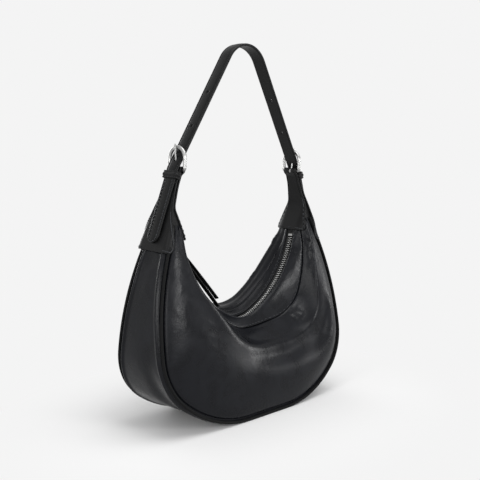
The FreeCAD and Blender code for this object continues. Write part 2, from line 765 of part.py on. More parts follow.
# keeper: a loop round the strap tail and the outer layer of the tab, with its back between the layers
keep_low = fold_radius - leather / 2 - seam_gap
keep_high = strap_radius + strap_thickness / 2 + keeper_gap
keep_half = tab_width / 2 + keeper_gap
outer_box = Part.makeBox(keep_high - keep_low + keeper_back + keeper_wall, 2 * (keep_half + keeper_wall),
                         keeper_height,
                         V(keep_low - keeper_back, -keep_half - keeper_wall, -keeper_drop - keeper_height))
rounds = [e for e in outer_box.Edges
          if e.BoundBox.ZLength > keeper_height / 2 and e.BoundBox.Center.x > keep_high]
outer_box = outer_box.makeFillet(keeper_wall, rounds)
inner_box = Part.makeBox(keep_high - keep_low, 2 * keep_half, 2 * keeper_height + keeper_drop,
                         V(keep_low, -keep_half, -2 * keeper_drop - keeper_height))
keeper = frame_at(outer_box.cut(inner_box), bar_point, *lean_axes(tab_tilt))

export(leaned(strap), "strap")
for shape, name in ((tab, "tab"), (frame, "buckle_frame"), (prong, "buckle_prong"), (keeper, "keeper")):
    export(leaned(shape), "right_" + name)
    export(leaned(mirrored(shape)), "left_" + name)
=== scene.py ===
"""Half moon shoulder bag in black leather, dressed around its CAD frame."""

import functools
import json
import math

import bmesh
import bpy
import numpy as np
from bpy.props import FloatProperty, FloatVectorProperty, PointerProperty
from bpy.types import Operator, Panel, PropertyGroup
from mathutils import Matrix, Vector, noise


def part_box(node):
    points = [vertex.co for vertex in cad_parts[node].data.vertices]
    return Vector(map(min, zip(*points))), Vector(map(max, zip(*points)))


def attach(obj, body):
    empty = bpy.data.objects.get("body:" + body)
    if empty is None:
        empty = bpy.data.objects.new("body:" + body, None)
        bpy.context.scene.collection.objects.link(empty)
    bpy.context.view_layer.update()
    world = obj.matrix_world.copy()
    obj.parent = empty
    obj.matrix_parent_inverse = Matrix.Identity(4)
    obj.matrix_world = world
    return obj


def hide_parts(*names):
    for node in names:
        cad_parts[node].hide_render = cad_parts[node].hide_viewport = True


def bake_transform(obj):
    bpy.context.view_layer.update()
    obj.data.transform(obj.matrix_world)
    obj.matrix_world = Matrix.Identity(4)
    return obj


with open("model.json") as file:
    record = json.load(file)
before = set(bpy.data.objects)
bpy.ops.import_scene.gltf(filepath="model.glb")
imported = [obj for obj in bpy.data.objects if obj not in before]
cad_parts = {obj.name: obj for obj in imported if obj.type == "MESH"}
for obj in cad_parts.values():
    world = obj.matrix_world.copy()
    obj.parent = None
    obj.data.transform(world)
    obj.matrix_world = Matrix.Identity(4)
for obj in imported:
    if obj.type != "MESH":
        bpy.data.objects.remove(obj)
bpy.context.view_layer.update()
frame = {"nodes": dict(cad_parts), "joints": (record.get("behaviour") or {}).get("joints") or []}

bl_info = {
    "name": "Half moon shoulder bag",
    "version": (1, 0, 0),
    "blender": (4, 5, 0),
    "location": "3D View > Sidebar > Bag",
    "description": "Leather, zip, straps, stitching and stage of a half moon shoulder bag",
    "category": "Object",
}

X_AXIS, Y_AXIS, Z_AXIS = np.eye(3)


# Properties: lengths in metres, angles in radians

def length(name, description, default):
    return FloatProperty(name=name, description=description, default=default, unit="LENGTH", precision=5)


def angle(name, description, degrees):
    return FloatProperty(name=name, description=description, default=math.radians(degrees), subtype="ANGLE")


def share(name, description, default):
    return FloatProperty(name=name, description=description, default=default, subtype="FACTOR", min=0, max=1)


def number(name, description, default):
    return FloatProperty(name=name, description=description, default=default)


def colour(name, description, default):
    return FloatVectorProperty(name=name, description=description, default=default, subtype="COLOR",
                               min=0, max=1)


class BodySizes(PropertyGroup):
    """Leather body: the outline of the gusset seam and the soft folds of the two panels."""
    bag_length: length("Bag length", "Length between the widest points of the seam", 0.280)
    base_arc_radius: length("Base arc", "Radius of the long curve of the base", 0.134)
    base_arc_turn: angle("Base turn", "Turn of the long curve of the base", 40)
    corner_radius: length("Corner", "Radius of the lower corners", 0.0668)
    side_arc_radius: length("Side arc", "Radius of the sides", 0.284)
    side_arc_turn: angle("Side turn", "Turn of the sides", 22)
    horn_run: length("Horn run", "Straight run at the top of each horn", 0.029)
    base_depth: length("Base depth", "Width of the gusset at the base", 0.0958)
    seam_lean: angle("Seam lean", "Lean of each seam towards the middle", 8)
    leather: length("Leather", "Thickness of the leather", 0.0018)
    piping_web: length("Piping web", "Reach of the piping's sewn edge into the seam", 0.005)
    seam_gap: length("Seam gap", "Gap beside the piping", 0.0003)
    piping_radius: length("Piping", "Radius of the piping", 0.0016)
    front_fold_height: length("Front fold height", "Height of the front fold in the middle", 0.074)
    front_fold_depth: length("Front fold depth", "Distance of the front fold from the zip plane", 0.037)
    front_fold_mid_depth: length("Front fold bulge", "The same half way to a horn", 0.040)
    right_fold_flat: length("Right fold flat", "Level stretch of the right front fold", 0.058)
    right_fold_radius: length("Right fold radius", "Bend of the right front fold", 0.043)
    right_fold_turn: angle("Right fold turn", "Turn of the right front fold", 87)
    left_fold_radius: length("Left fold radius", "Lower bend of the left front fold", 0.052)
    left_fold_turn: angle("Left fold turn", "Turn of that bend", 47)
    left_fold_rise: length("Left fold rise", "Straight stretch of the left front fold", 0.058)
    left_fold_top_radius: length("Left fold top radius", "Upper bend of the left front fold", 0.066)
    left_fold_top_turn: angle("Left fold top turn", "Turn of that bend", 34)
    back_fold_height: length("Back fold height", "Height of the back fold in the middle", 0.114)
    back_fold_depth: length("Back fold depth", "Distance of the back fold from the zip plane", 0.030)
    back_fold_mid_depth: length("Back fold bulge", "The same half way to a horn", 0.033)
    back_fold_radius: length("Back fold radius", "Lower bend of the back fold", 0.060)
    back_fold_turn: angle("Back fold turn", "Turn of that bend", 35)
    back_fold_top_radius: length("Back fold top radius", "Upper bend of the back fold", 0.215)
    back_fold_top_turn: angle("Back fold top turn", "Turn of that bend", 30)
    fold_end_drop: length("Fold end drop", "How far below the horn the folds end", 0.0006)
    fold_end_share: share("Fold end", "Place of the fold's end between zip and seam", 0.62)
    front_belly: length("Front belly", "Bulge of the front panel", 0.007)
    back_belly: length("Back belly", "Bulge of the back panel", 0.011)
    shoulder_puff: length("Shoulder puff", "Bulge between fold and facing", 0.0015)
    fold_lip: length("Fold lip", "Reach of the tight bend on each side of a fold", 0.0042)
    fold_blend: share("Fold blend", "Share of the bag over which the middle of a fold is eased", 0.14)
    fold_valley: length("Fold valley", "Depth of the trough between the front fold and the facing", 0.0028)
    edge_roll: length("Edge roll", "How far an edge turns down into its seam", 0.0030)
    edge_bead: length("Edge bead", "Height of the bead beside the gusset's seams", 0.0015)
    back_bead_inset: length("Back bead inset", "Distance of the bead from the gusset's back edge", 0.0045)
    front_bead_inset: length("Front bead inset", "Distance of the bead from the gusset's front edge", 0.0056)
    bead_width: length("Bead width", "Half width of the bead", 0.0021)
    back_roll: share("Back roll", "Share of the turned edge's width at the gusset's back edge", 0.6)
    front_roll: share("Front roll", "Share of the turned edge's width at the gusset's front edge", 0.36)
    seam_groove: length("Seam groove", "Width of the groove between the piping and the gusset", 0.0013)
    horn_cap: length("Horn cap", "How far the gusset's ends turn in under the tabs", 0.0105)
    horn_tuck: length("Horn tuck", "How far the folds draw in to the zip at the horns", 0.0045)
    edge_roll_width: length("Edge roll width", "Width of the turned edge", 0.0052)
    lining_sink: length("Lining sink", "How far the lining hangs below the folds", 0.004)
    lining: length("Lining", "Thickness of the lining", 0.0006)
    lining_gap: length("Lining gap", "Gap between leather and lining", 0.0005)
    lining_room: length("Lining room", "Further room between a panel and its lining", 0.0004)
    lining_margin: length("Lining margin", "Distance of the lining from the gusset's edges", 0.003)


class ZipSizes(PropertyGroup):
    """Zip: path, facings, chain and pull."""
    zip_height: length("Zip height", "Height of the chain in the middle", 0.101)
    low_radius: length("Low radius", "Bend of the chain in the middle", 0.046)
    end_inset: length("End inset", "Distance of the zip's end from the horn along X", 0.0156)
    end_drop: length("End drop", "Distance of the zip's end below the horn", 0.0203)
    end_angle: angle("End angle", "Steepness of the zip's ends", 76.5)
    chain_end_angle: angle("Chain end angle", "Steepness where the teeth stop", 75)
    facing_start: length("Facing start", "Distance of the facings from the chain's middle", 0.0056)
    facing_lift: length("Facing lift", "Height of the facing over the chain's middle", 0.00275)
    facing_leather: length("Facing leather", "Thickness of the facings", 0.0014)
    facing_seam: length("Facing seam", "Gap at the seam of facing and panel", 0.0002)
    facing_tail: length("Facing tail", "How far the facings run on under the tabs", 0.0055)
    facing_least: length("Facing least", "Least distance of that seam from the zip plane", 0.0095)
    facing_flat_share: share("Facing flat", "Flat share of the facing beside the chain", 0.45)
    front_facing_share: share("Front facing", "Share of the way to the front fold in the middle", 0.38)
    front_facing_end_share: share("Front facing end", "The same at the horns", 0.66)
    back_facing_share: share("Back facing", "Share of the way to the back fold", 0.5)
    tooth_pitch: length("Tooth pitch", "Pitch of a row of teeth", 0.0028)
    tooth_length: length("Tooth length", "Length of a tooth along the chain", 0.0013)
    tooth_reach: length("Tooth reach", "Length of a tooth across the chain", 0.0024)
    tooth_height: length("Tooth height", "Height of a tooth", 0.0022)
    row_slit: length("Row slit", "Slit that the slider's post runs in", 0.0012)
    tape_thickness: length("Tape", "Thickness of the tape", 0.0005)
    tape_width: length("Tape width", "Width of the tape that shows", 0.0032)
    pull_width: length("Pull width", "Width of the pull's leather strip", 0.006)
    pull_leather: length("Pull leather", "Thickness of the pull's leather strip", 0.0011)
    pull_upper: length("Upper tail", "Length of the pull's upper tail", 0.058)
    pull_lower: length("Lower tail", "Length of the pull's lower tail", 0.065)
    pull_spread: angle("Tail spread", "Angle between the pull's two tails", 3)
    pull_lift: angle("Pull lift", "Lift of the pull off the chain", 15.5)
    link_length: length("Link length", "Length of the wire link", 0.009)
    link_wire: length("Link wire", "Thickness of the wire link", 0.0014)
    link_play: length("Link play", "Gap between the wire link and the pull", 0.0003)
    tail_sag: length("Tail sag", "How far the upper tail's tip sinks", 0.0012)
    pull_inset: length("Pull inset", "Distance of the pull's pressed line from its edge", 0.0014)
    pull_press: length("Pull press", "Depth of the pull's pressed line", 0.00012)
    facing_stitch_inset: length("Facing stitches", "Their distance from the edge beside the chain", 0.0019)


class StrapSizes(PropertyGroup):
    """Tabs on the horns, the shoulder strap and its keepers."""
    bar_inset: length("Bar inset", "Distance of the buckle bar from the top of the side", 0.0293)
    bar_rise: length("Bar rise", "Height of the buckle bar over the horn", 0.056)
    bar_radius: length("Bar radius", "Radius of the buckle bar", 0.00175)
    frame_radius: length("Frame radius", "Radius of the buckle frame's wire", 0.002)
    frame_height: length("Frame height", "Height of the buckle frame", 0.0235)
    frame_width: length("Frame width", "Width of the buckle frame between its wires' middles", 0.024)
    arch_gap: length("Arch gap", "Gap between strap and buckle arch", 0.0023)
    prong_radius: length("Prong radius", "Radius of the prong", 0.0012)
    prong_play: length("Prong play", "Play of the prong in its hole", 0.0009)
    strap_width: length("Strap width", "Width of the strap", 0.0174)
    strap_thickness: length("Strap thickness", "Thickness of the strap", 0.003)
    leg_angle: angle("Leg angle", "Steepness of the strap's legs", 60)
    top_radius: length("Top radius", "Bend at the top of the strap", 0.030)
    strap_tail: length("Strap tail", "Length of the tail below the buckle", 0.080)
    tip_radius: length("Tip radius", "Rounding of the tail's tip", 0.0085)
    hole_radius: length("Hole radius", "Radius of the adjusting holes", 0.002)
    hole_pitch: length("Hole pitch", "Distance between the holes", 0.042)
    lean: angle("Lean", "Lean of the strap to the front", 3.6)
    lean_rise: length("Lean rise", "Height over the horn about which the strap leans", 0.006)
    tab_width: length("Tab width", "Width of the tab's neck", 0.019)
    outer_foot: length("Outer foot", "Width of the outer foot before it is bent round the horn", 0.068)
    inner_foot: length("Inner foot", "Width of the inner foot before it is bent round the horn", 0.048)
    flare_drop: length("Flare drop", "Distance below the bar from which a foot widens", 0.0127)
    outer_bow: number("Outer bow", "Hollowness of the outer foot's sides", 1.5)
    inner_bow: number("Inner bow", "Hollowness of the inner foot's sides", 1.45)
    outer_corner: length("Outer corner", "Rounding of the outer foot's corners", 0.012)
    inner_corner: length("Inner corner", "Rounding of the inner foot's corners", 0.007)
    tab_gap: length("Tab gap", "Gap between the tab and the horn", 0.0009)
    inner_lift: length("Inner lift", "Height of the inner foot over the zip's end", 0.0008)
    fold_turn: angle("Fold turn", "Turn of the tab past half a turn round the bar", 32)
    join_radius: length("Join radius", "Bend where the tab's layers meet", 0.004)
    split_radius: length("Split radius", "Bend where the tab's layers part", 0.012)
    foot_lean: angle("Foot lean", "Lean of the inner foot", 21.5)
    core_least: length("Core least", "Least room between a tab's layers that the horn's end fills", 0.0020)
    inner_trim: length("Inner trim", "How much higher than its path the inner foot ends", 0.004)
    outer_wrap_inset: length("Outer wrap inset", "Distance of the outer foot's bend inside the seam", 0.0018)
    outer_wrap_radius: length("Outer wrap radius", "Radius of that bend", 0.005)
    inner_wrap_start: length("Inner wrap start", "Half width past which the inner foot bends", 0.010)
    inner_wrap_radius: length("Inner wrap radius", "Radius of that bend", 0.018)
    wrap_limit: angle("Wrap limit", "Most that a foot bends before its edge lies flat again", 96)
    keeper_drop: length("Keeper drop", "Distance of the keeper below the bar", 0.0032)
    keeper_back: length("Keeper back", "Thickness of the keeper between the tab's layers", 0.0007)
    keeper_height: length("Keeper height", "Height of the keeper", 0.008)
    keeper_wall: length("Keeper wall", "Thickness of the keeper", 0.0014)
    keeper_gap: length("Keeper gap", "Gap inside the keeper", 0.0004)
    keeper_crown: length("Keeper crown", "Swell of the keeper's outside", 0.0004)
    keeper_inset: length("Keeper inset", "Distance of the keeper's pressed line from its edge", 0.0017)
    keeper_press: length("Keeper press", "Depth of the keeper's pressed line", 0.0003)
    tab_press: length("Tab press", "Depth of the pressed line on the tabs", 0.0004)
    strap_press: length("Strap press", "Depth of the pressed line on the strap", 0.0007)
    strap_crown: length("Strap crown", "Swell of the strap's middle", 0.0004)
    prong_slot: length("Prong slot", "Gap beside the prong in the tab's slot", 0.0006)
    bend_start: length("Bend start", "How far below the lean's height the tabs start to bend", 0.014)
    bend_end: length("Bend end", "How far below the bar the tabs have bent", 0.012)
    core_drop: length("Core drop", "How far below the horn its end between a tab's layers starts", 0.002)
    stitch_thick: length("Stitch thick", "Thickness of the thread", 0.0008)
    stitch_share: share("Stitch share", "Length of a stitch as a share of the pitch", 0.74)
    stitch_wander: number("Stitch wander", "How far the stitches turn from their line, in radians", 0.14)
    stitch_pitch: length("Stitch pitch", "Distance from stitch to stitch", 0.0036)
    stitch_inset: length("Stitch inset", "Distance of a stitch line from its edge", 0.0022)


class Finishes(PropertyGroup):
    """Colours of the leather, cloth and metal."""
    leather: colour("Leather", "Black leather of the body", (0.0039, 0.0043, 0.0058))
    strap_leather: colour("Strap leather", "Black leather of tabs and strap", (0.0048, 0.0049, 0.0051))
    thread: colour("Thread", "Sewing thread", (0.030, 0.031, 0.034))
    tape: colour("Tape", "Woven zip tape", (0.008, 0.008, 0.009))
    lining: colour("Lining", "Woven lining", (0.020, 0.020, 0.022))
    metal: colour("Metal", "Bright nickel", (0.38, 0.38, 0.375))
    board: colour("Board", "Stiffening board", (0.05, 0.05, 0.05))
    floor: colour("Floor", "Pale floor and backdrop", (0.905, 0.905, 0.905))


class StageSizes(PropertyGroup):
    """Camera of the stage."""
    azimuth: angle("Azimuth", "Direction of the camera", -44.63)
    elevation: angle("Elevation", "Height angle of the camera", 4.02)
    roll: angle("Roll", "Tilt of the camera about its view", -0.47)
    distance: length("Distance", "Distance of the camera from its aim", 0.8047)
    aim_height: length("Aim height", "Height of the point that the camera aims at", 0.2)
    lens: number("Lens", "Focal length", 53.17)
    shift_x: number("Shift X", "Camera shift to the right", 0.0058)
    shift_y: number("Shift Y", "Camera shift upwards", -0.0167)


# Curves and grids

def walk(start, heading, steps, spacing):
    """Points and headings along a path in XZ; a step is (length, 0) or (radius, turn)."""
    x, z = start
    rows = [(x, z, heading)]
    for size, turn in steps:
        run = size if turn == 0 else size * abs(turn)
        count = max(2, int(run / spacing))
        for _ in range(count):
            if turn == 0:
                x += run / count * math.cos(heading)
                z += run / count * math.sin(heading)
            else:
                half = turn / count / 2
                chord = 2 * size * math.sin(abs(half))
                heading += half
                x += chord * math.cos(heading)
                z += chord * math.sin(heading)
                heading += half
            rows.append((x, z, heading))
    return np.array(rows)


def trace(start, steps, part, inset=0.0):
    """Point of such a path, starting level, at a share of its length, and the heading there."""
    runs = [size if turn == 0 else size * turn for size, turn in steps]
    left = part * sum(runs)
    x, z = start
    heading = 0.0
    for (size, turn), run in zip(steps, runs):
        done = min(left, run)
        if turn == 0:
            x += done * math.cos(heading)
            z += done * math.sin(heading)
        else:
            ahead = heading + done / size
            x += size * (math.sin(ahead) - math.sin(heading))
            z += size * (math.cos(heading) - math.cos(ahead))
            heading = ahead
        left -= done
        if left <= 0:
            break
    return x - inset * math.sin(heading), z + inset * math.cos(heading), heading


def distance_along(points):
    """Distance of each point of a polyline from its start."""
    return np.concatenate([[0], np.cumsum(np.linalg.norm(np.diff(points, axis=0), axis=1))])


def row_distance(grid):
    """Distance of each point of a grid from the first point of its row."""
    return np.array([distance_along(row) for row in grid])


def even(curve, count):
    """The same polyline with evenly spaced points."""
    curve = np.asarray(curve, float)
    far = distance_along(curve)
    at = np.linspace(0, far[-1], count)
    return np.stack([np.interp(at, far, curve[:, k]) for k in range(curve.shape[1])], axis=1)


def spline(knots, count):
    """Even points on a smooth curve through the knots."""
    knots = np.asarray(knots, float)
    gaps = np.linalg.norm(np.diff(knots, axis=0), axis=1)
    at = distance_along(knots)
    size = len(knots)
    system = np.eye(size)
    right = np.zeros((size, 3))
    for i in range(1, size - 1):
        system[i, i - 1:i + 2] = gaps[i - 1], 2 * (gaps[i - 1] + gaps[i]), gaps[i]
        right[i] = 6 * ((knots[i + 1] - knots[i]) / gaps[i] - (knots[i] - knots[i - 1]) / gaps[i - 1])
    bend = np.linalg.solve(system, right)
    fine = np.linspace(0, at[-1], 6 * count)
    k = np.clip(np.searchsorted(at, fine, side="right") - 1, 0, size - 2)
    gap = gaps[k][:, None]
    a = (at[k + 1] - fine)[:, None] / gap
    b = 1 - a
    straight = a * knots[k] + b * knots[k + 1]
    curve = straight + ((a ** 3 - a) * bend[k] + (b ** 3 - b) * bend[k + 1]) * gap ** 2 / 6
    return even(curve, count)


def unit(vectors):
    return vectors / np.maximum(np.linalg.norm(vectors, axis=-1, keepdims=True), 1e-12)


def normals_of(grid, outward):
    """Unit normals of a point grid, on the side that outward points to."""
    normals = unit(np.cross(np.gradient(grid, axis=0), np.gradient(grid, axis=1)))
    if np.mean(normals @ np.asarray(outward, float)) < 0:
        normals = -normals
    return normals


def smooth(low, high, value):
    t = np.clip((np.asarray(value, float) - low) / (high - low), 0, 1)
    return t * t * (3 - 2 * t)


def rolled(distance, width, depth):
    """How far a surface turns down at a distance from its edge."""
    t = np.clip(1 - distance / width, 0, 1)
    return depth * (1 - np.sqrt(np.maximum(1 - t * t, 0)))


def lumps(grid, size, seed):
    """Smooth noise from -1 to 1 on the points of a grid."""
    flat = grid.reshape(-1, 3) / size + seed
    values = [noise.noise(Vector(p)) for p in flat]
    return np.array(values).reshape(grid.shape[:2])


def ridges(grid, size, seed):
    """Fine branching crests, from -1 to 1 on the points of a grid."""
    sway = np.stack([lumps(grid, size, seed + k) for k in (11.3, 23.9, 37.1)], axis=2)
    return 1 - 3 * np.minimum(np.abs(lumps(grid + 0.35 * size * sway, size, seed)), 2 / 3)


def spot(along, up, place, around, long, tall):
    """1 in the middle of a soft spot, fading to 0 about it."""
    return np.exp(-(((along - place) / long) ** 2 + ((up - around) / tall) ** 2))


# Meshes

def add_object(name, mesh):
    obj = bpy.data.objects.new(name, mesh)
    bpy.context.scene.collection.objects.link(obj)
    return obj


def make_mesh(name, points, faces, sharp=math.radians(50)):
    """Smooth object with outward faces; edges over the sharp angle stay crisp."""
    mesh = bpy.data.meshes.new(name)
    mesh.from_pydata([tuple(p) for p in points], [], faces)
    work = bmesh.new()
    work.from_mesh(mesh)
    bmesh.ops.remove_doubles(work, verts=work.verts, dist=1e-6)
    bmesh.ops.recalc_face_normals(work, faces=work.faces)
    for face in work.faces:
        face.smooth = True
    for edge in work.edges:
        edge.smooth = len(edge.link_faces) != 2 or edge.calc_face_angle(0) < sharp
    work.to_mesh(mesh)
    work.free()
    return add_object(name, mesh)


def shell(name, outer, inner):
    """Closed wall between two point grids of the same size."""
    rows, columns = outer.shape[:2]
    count = rows * columns
    faces = []
    for i in range(rows - 1):
        for j in range(columns - 1):
            a = i * columns + j
            quad = (a, a + 1, a + columns + 1, a + columns)
            faces.append(quad)
            faces.append(tuple(count + k for k in reversed(quad)))
    rim = list(range(columns))
    rim += [i * columns + columns - 1 for i in range(1, rows)]
    rim += [(rows - 1) * columns + j for j in reversed(range(columns - 1))]
    rim += [i * columns for i in reversed(range(1, rows - 1))]
    for a, b in zip(rim, rim[1:] + rim[:1]):
        faces.append((b, a, count + a, count + b))
    return make_mesh(name, np.concatenate([outer.reshape(-1, 3), inner.reshape(-1, 3)]), faces)


# pressed line of a strap: half its width
PRESS_HALF = 0.0007

# rounded edge of a strap: distance from the edge in thicknesses, height in half thicknesses
EDGE_PLACES, EDGE_RISES = (0.0, 0.08, 0.22, 0.42), (0.0, 0.6, 0.9, 1.0)
EDGE_SQUEEZE = 1.25


def strip(name, path, across, up, half_width, thickness, groove, inset, crown=0.0, fill=3,
          closed=False, place=None):
    """Flat strap along a path, with rounded edges and a pressed line beside each edge."""
    half = thickness / 2
    from_edge = np.array([*(part * thickness for part in EDGE_PLACES),
                          inset - PRESS_HALF, inset, inset + PRESS_HALF])
    rise = half * np.array([*EDGE_RISES, 1.0, 1.0 - groove / half, 1.0])
    plain = half * np.array([*EDGE_RISES, 1.0, 1.0, 1.0])
    middle = np.linspace(-1, 1, fill + 2)[1:-1]
    count = len(path)
    half_width = np.broadcast_to(np.asarray(half_width, float), (count,))
    loops = []
    for k in range(count):
        back = from_edge * min(1.0, half_width[k] / (from_edge[-1] * EDGE_SQUEEZE))
        edge = half_width[k] - back
        a = np.concatenate([-edge, middle * edge[-1], edge[::-1]])
        t = np.concatenate([rise, half + crown * (1 - middle ** 2), rise[::-1]])
        low = -np.concatenate([plain, np.full(fill, half), plain[::-1]])
        a = np.concatenate([a, a[-2:0:-1]])
        t = np.concatenate([t, low[-2:0:-1]])
        loops.append(place(k, a, t) if place else path[k] + across[k] * a[:, None] + up[k] * t[:, None])
    return make_mesh(name, np.concatenate(loops), ring_faces(count, len(loops[0]), closed))


def tube(name, path, radius, sides=12):
    """Round cord along a path."""
    along = unit(np.gradient(path, axis=0))
    rings = round_rings(path, along, np.cross(along, Y_AXIS), radius, sides)
    return make_mesh(name, rings, ring_faces(len(path), sides))


def wire_loop(name, path, side, radius, sides=20):
    """Closed loop of round wire in a plane; side is the plane's normal."""
    along = unit(np.roll(path, -1, axis=0) - np.roll(path, 1, axis=0))
    rings = round_rings(path, along, np.tile(side, (len(path), 1)), radius[:, None, None], sides)
    return make_mesh(name, rings, ring_faces(len(path), sides, True))


def round_rings(path, along, side, radius, sides):
    """Points of circles round a path."""
    side = unit(side)
    other = np.cross(along, side)
    turns = 2 * math.pi * np.arange(sides) / sides
    ring = np.cos(turns)[None, :, None] * side[:, None] + np.sin(turns)[None, :, None] * other[:, None]
    return (path[:, None] + radius * ring).reshape(-1, 3)


def ring_faces(count, sides, closed=False):
    """Faces that join rings of points one after the other, with a cap at each end unless they close."""
    faces = []
    for k in range(count if closed else count - 1):
        for j in range(sides):
            a, b = k * sides, (k + 1) % count * sides
            after = (j + 1) % sides
            faces.append((a + j, a + after, b + after, b + j))
    if not closed:
        faces.append(tuple(range(sides)))
        faces.append(tuple((count - 1) * sides + j for j in reversed(range(sides))))
    return faces


def evaluated(obj):
    """Plain mesh of an object with its modifiers, which are then removed."""
    graph = bpy.context.evaluated_depsgraph_get()
    plain = bpy.data.meshes.new_from_object(obj.evaluated_get(graph), depsgraph=graph)
    obj.modifiers.clear()
    obj.data = plain


def bored(obj, cutters):
    """Cuts closed meshes out of an object."""
    for cutter in cutters:
        bore = obj.modifiers.new("bore", "BOOLEAN")
        bore.operation = "DIFFERENCE"
        bore.solver = "EXACT"
        bore.object = cutter
    evaluated(obj)
    for cutter in cutters:
        bpy.data.objects.remove(cutter)


def rod(start, end, radius, sides=20):
    """Straight round cutter between two points."""
    start, end = Vector(start), Vector(end)
    path = np.array([start.lerp(end, t) for t in (0.0, 0.5, 1.0)])
    return tube("cutter", path, radius, sides)


def dress(obj, material, body=None, slot=None, nodes=(), bend=None):
    """Material, body and replaced nodes of a finished piece; slot is not used; a piece with a bend, given as
    (body, body, start, end), is baked in world space instead of joining a body, and nothing bends it.
    """
    obj.data.materials.clear()
    obj.data.materials.append(material)
    if bend:
        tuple(bend[2])
        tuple(bend[3])
        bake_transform(obj)
    else:
        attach(obj, body)
    if nodes:
        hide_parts(*nodes)


def repaint(nodes, material):
    """Material of CAD nodes that are shown as they are."""
    for node in nodes:
        mesh = frame["nodes"][node].data
        mesh.materials.clear()
        mesh.materials.append(material)


# Node trees

class Value:
    """Socket of a node tree; an expression on values adds its Math nodes."""

    def __init__(self, tree, socket):
        self.tree = tree
        self.socket = socket

    def _maths(self, operation, *values):
        return self.tree.node("ShaderNodeMath", {"operation": operation}, dict(enumerate(values)))

    def __add__(self, other):
        return self._maths("ADD", self, other)

    def __sub__(self, other):
        return self._maths("SUBTRACT", self, other)

    def __rsub__(self, other):
        return self._maths("SUBTRACT", other, self)

    def __mul__(self, other):
        return self._maths("MULTIPLY", self, other)

    __radd__ = __add__
    __rmul__ = __mul__

    def between(self, low, high):
        """0 below low, 1 above high."""
        return self.tree.node("ShaderNodeMapRange", {"interpolation_type": "SMOOTHSTEP"},
                              {"Value": self, "From Min": low, "From Max": high}, "Result")


class Tree:
    """Node tree of a material, the world or a modifier."""

    def __init__(self, data):
        self.data = data

    def node(self, kind, settings=None, inputs=None, output=0):
        """Adds a node: its type, its settings, the values or links of its sockets and the output to use."""
        added = self.data.nodes.new(kind)
        for key, value in (settings or {}).items():
            setattr(added, key, value)
        for key, value in (inputs or {}).items():
            self.plug(added.inputs[key], value)
        return Value(self, added.outputs[output])

    def plug(self, socket, value):
        if isinstance(value, Value):
            self.data.links.new(value.socket, socket)
        else:
            socket.default_value = value


class Shader(Tree):
    """Material with one Principled shader."""

    def __init__(self, name):
        self.material = bpy.data.materials.new(name)
        self.material.use_nodes = True
        super().__init__(self.material.node_tree)
        self.principled = self.data.nodes["Principled BSDF"]

    def set(self, **values):
        for key, value in values.items():
            self.plug(self.principled.inputs[key.replace("_", " ")], value)

    def place(self, scale=1.0):
        """Object coordinates in metres, times a scale for each axis."""
        here = self.node("ShaderNodeTexCoord", output="Object")
        if scale == 1.0:
            return here
        return self.node("ShaderNodeMapping", {}, {"Vector": here, "Scale": scale})

    def noise(self, place, scale, detail, warp=0.0):
        inputs = {"Vector": place, "Scale": scale, "Detail": detail, "Distortion": warp}
        return self.node("ShaderNodeTexNoise", {}, inputs, "Fac")

    def cells(self, place, scale, feature="F1"):
        inputs = {"Vector": place, "Scale": scale}
        return self.node("ShaderNodeTexVoronoi", {"feature": feature}, inputs, "Distance")

    def mix(self, factor, low, high):
        """Colour between two tints; the numbers are the colour sockets of the Mix node."""
        return self.node("ShaderNodeMix", {"data_type": "RGBA"},
                         {0: factor, 6: tuple(low) + (1.0,), 7: tuple(high) + (1.0,)}, 2)

    def bump(self, height, distance, strength):
        inputs = {"Height": height, "Distance": distance, "Strength": strength}
        return self.node("ShaderNodeBump", {}, inputs, "Normal")


def brighter(tint, factor):
    return [min(1.0, c * factor) for c in tint]


def leather_finish(name, tint, sheen, crumple, gloss):
    """Smooth leather: fine pores, soft creases and a worn sheen that changes over the hide."""
    s = Shader(name)
    here = s.place()
    pores = s.cells(here, 1150.0)
    grain = s.noise(here, 700.0, detail=3.0, warp=0.4)
    wrinkle = s.cells(s.place((1.0, 0.75, 1.2)), 210.0, "DISTANCE_TO_EDGE").between(0.0, 0.2)
    folds = s.noise(here, 130.0, detail=4.0, warp=1.1)
    patch = s.noise(here, 46.0, detail=2.5, warp=0.7)
    height = 0.05 * pores + 0.07 * grain + crumple * (0.06 * wrinkle + 0.55 * folds)
    s.set(Base_Color=s.mix(patch.between(0.3, 0.75), brighter(tint, 0.85), brighter(tint, 1.25)),
          Roughness=sheen + 0.32 * patch + 0.04 * grain, Specular_IOR_Level=gloss,
          Normal=s.bump(height, distance=0.00024, strength=0.9))
    return s.material


def thread_finish(name, tint):
    """Waxed thread with a twist along each stitch."""
    s = Shader(name)
    twist = s.noise(s.place(), 2600.0, detail=2.0, warp=0.8)
    s.set(Base_Color=s.mix(twist, brighter(tint, 0.7), brighter(tint, 1.6)), Roughness=0.5 + 0.15 * twist,
          Normal=s.bump(twist, distance=0.0001, strength=0.6), Specular_IOR_Level=0.1)
    return s.material


def weave_finish(name, tint, pitch):
    """Plain weave of warp and weft threads."""
    s = Shader(name)
    here = s.place()
    warp, weft = (s.node("ShaderNodeTexWave", {"bands_direction": way},
                         {"Vector": here, "Scale": 0.32 / pitch, "Distortion": 1.0}, "Fac")
                  for way in ("DIAGONAL", "Y"))
    cloth = warp * weft
    fuzz = s.noise(here, 900.0, detail=3.0)
    s.set(Base_Color=s.mix(cloth * fuzz, brighter(tint, 0.6), brighter(tint, 1.7)),
          Roughness=0.75 + 0.15 * fuzz, Normal=s.bump(cloth, distance=0.00015, strength=0.8))
    return s.material


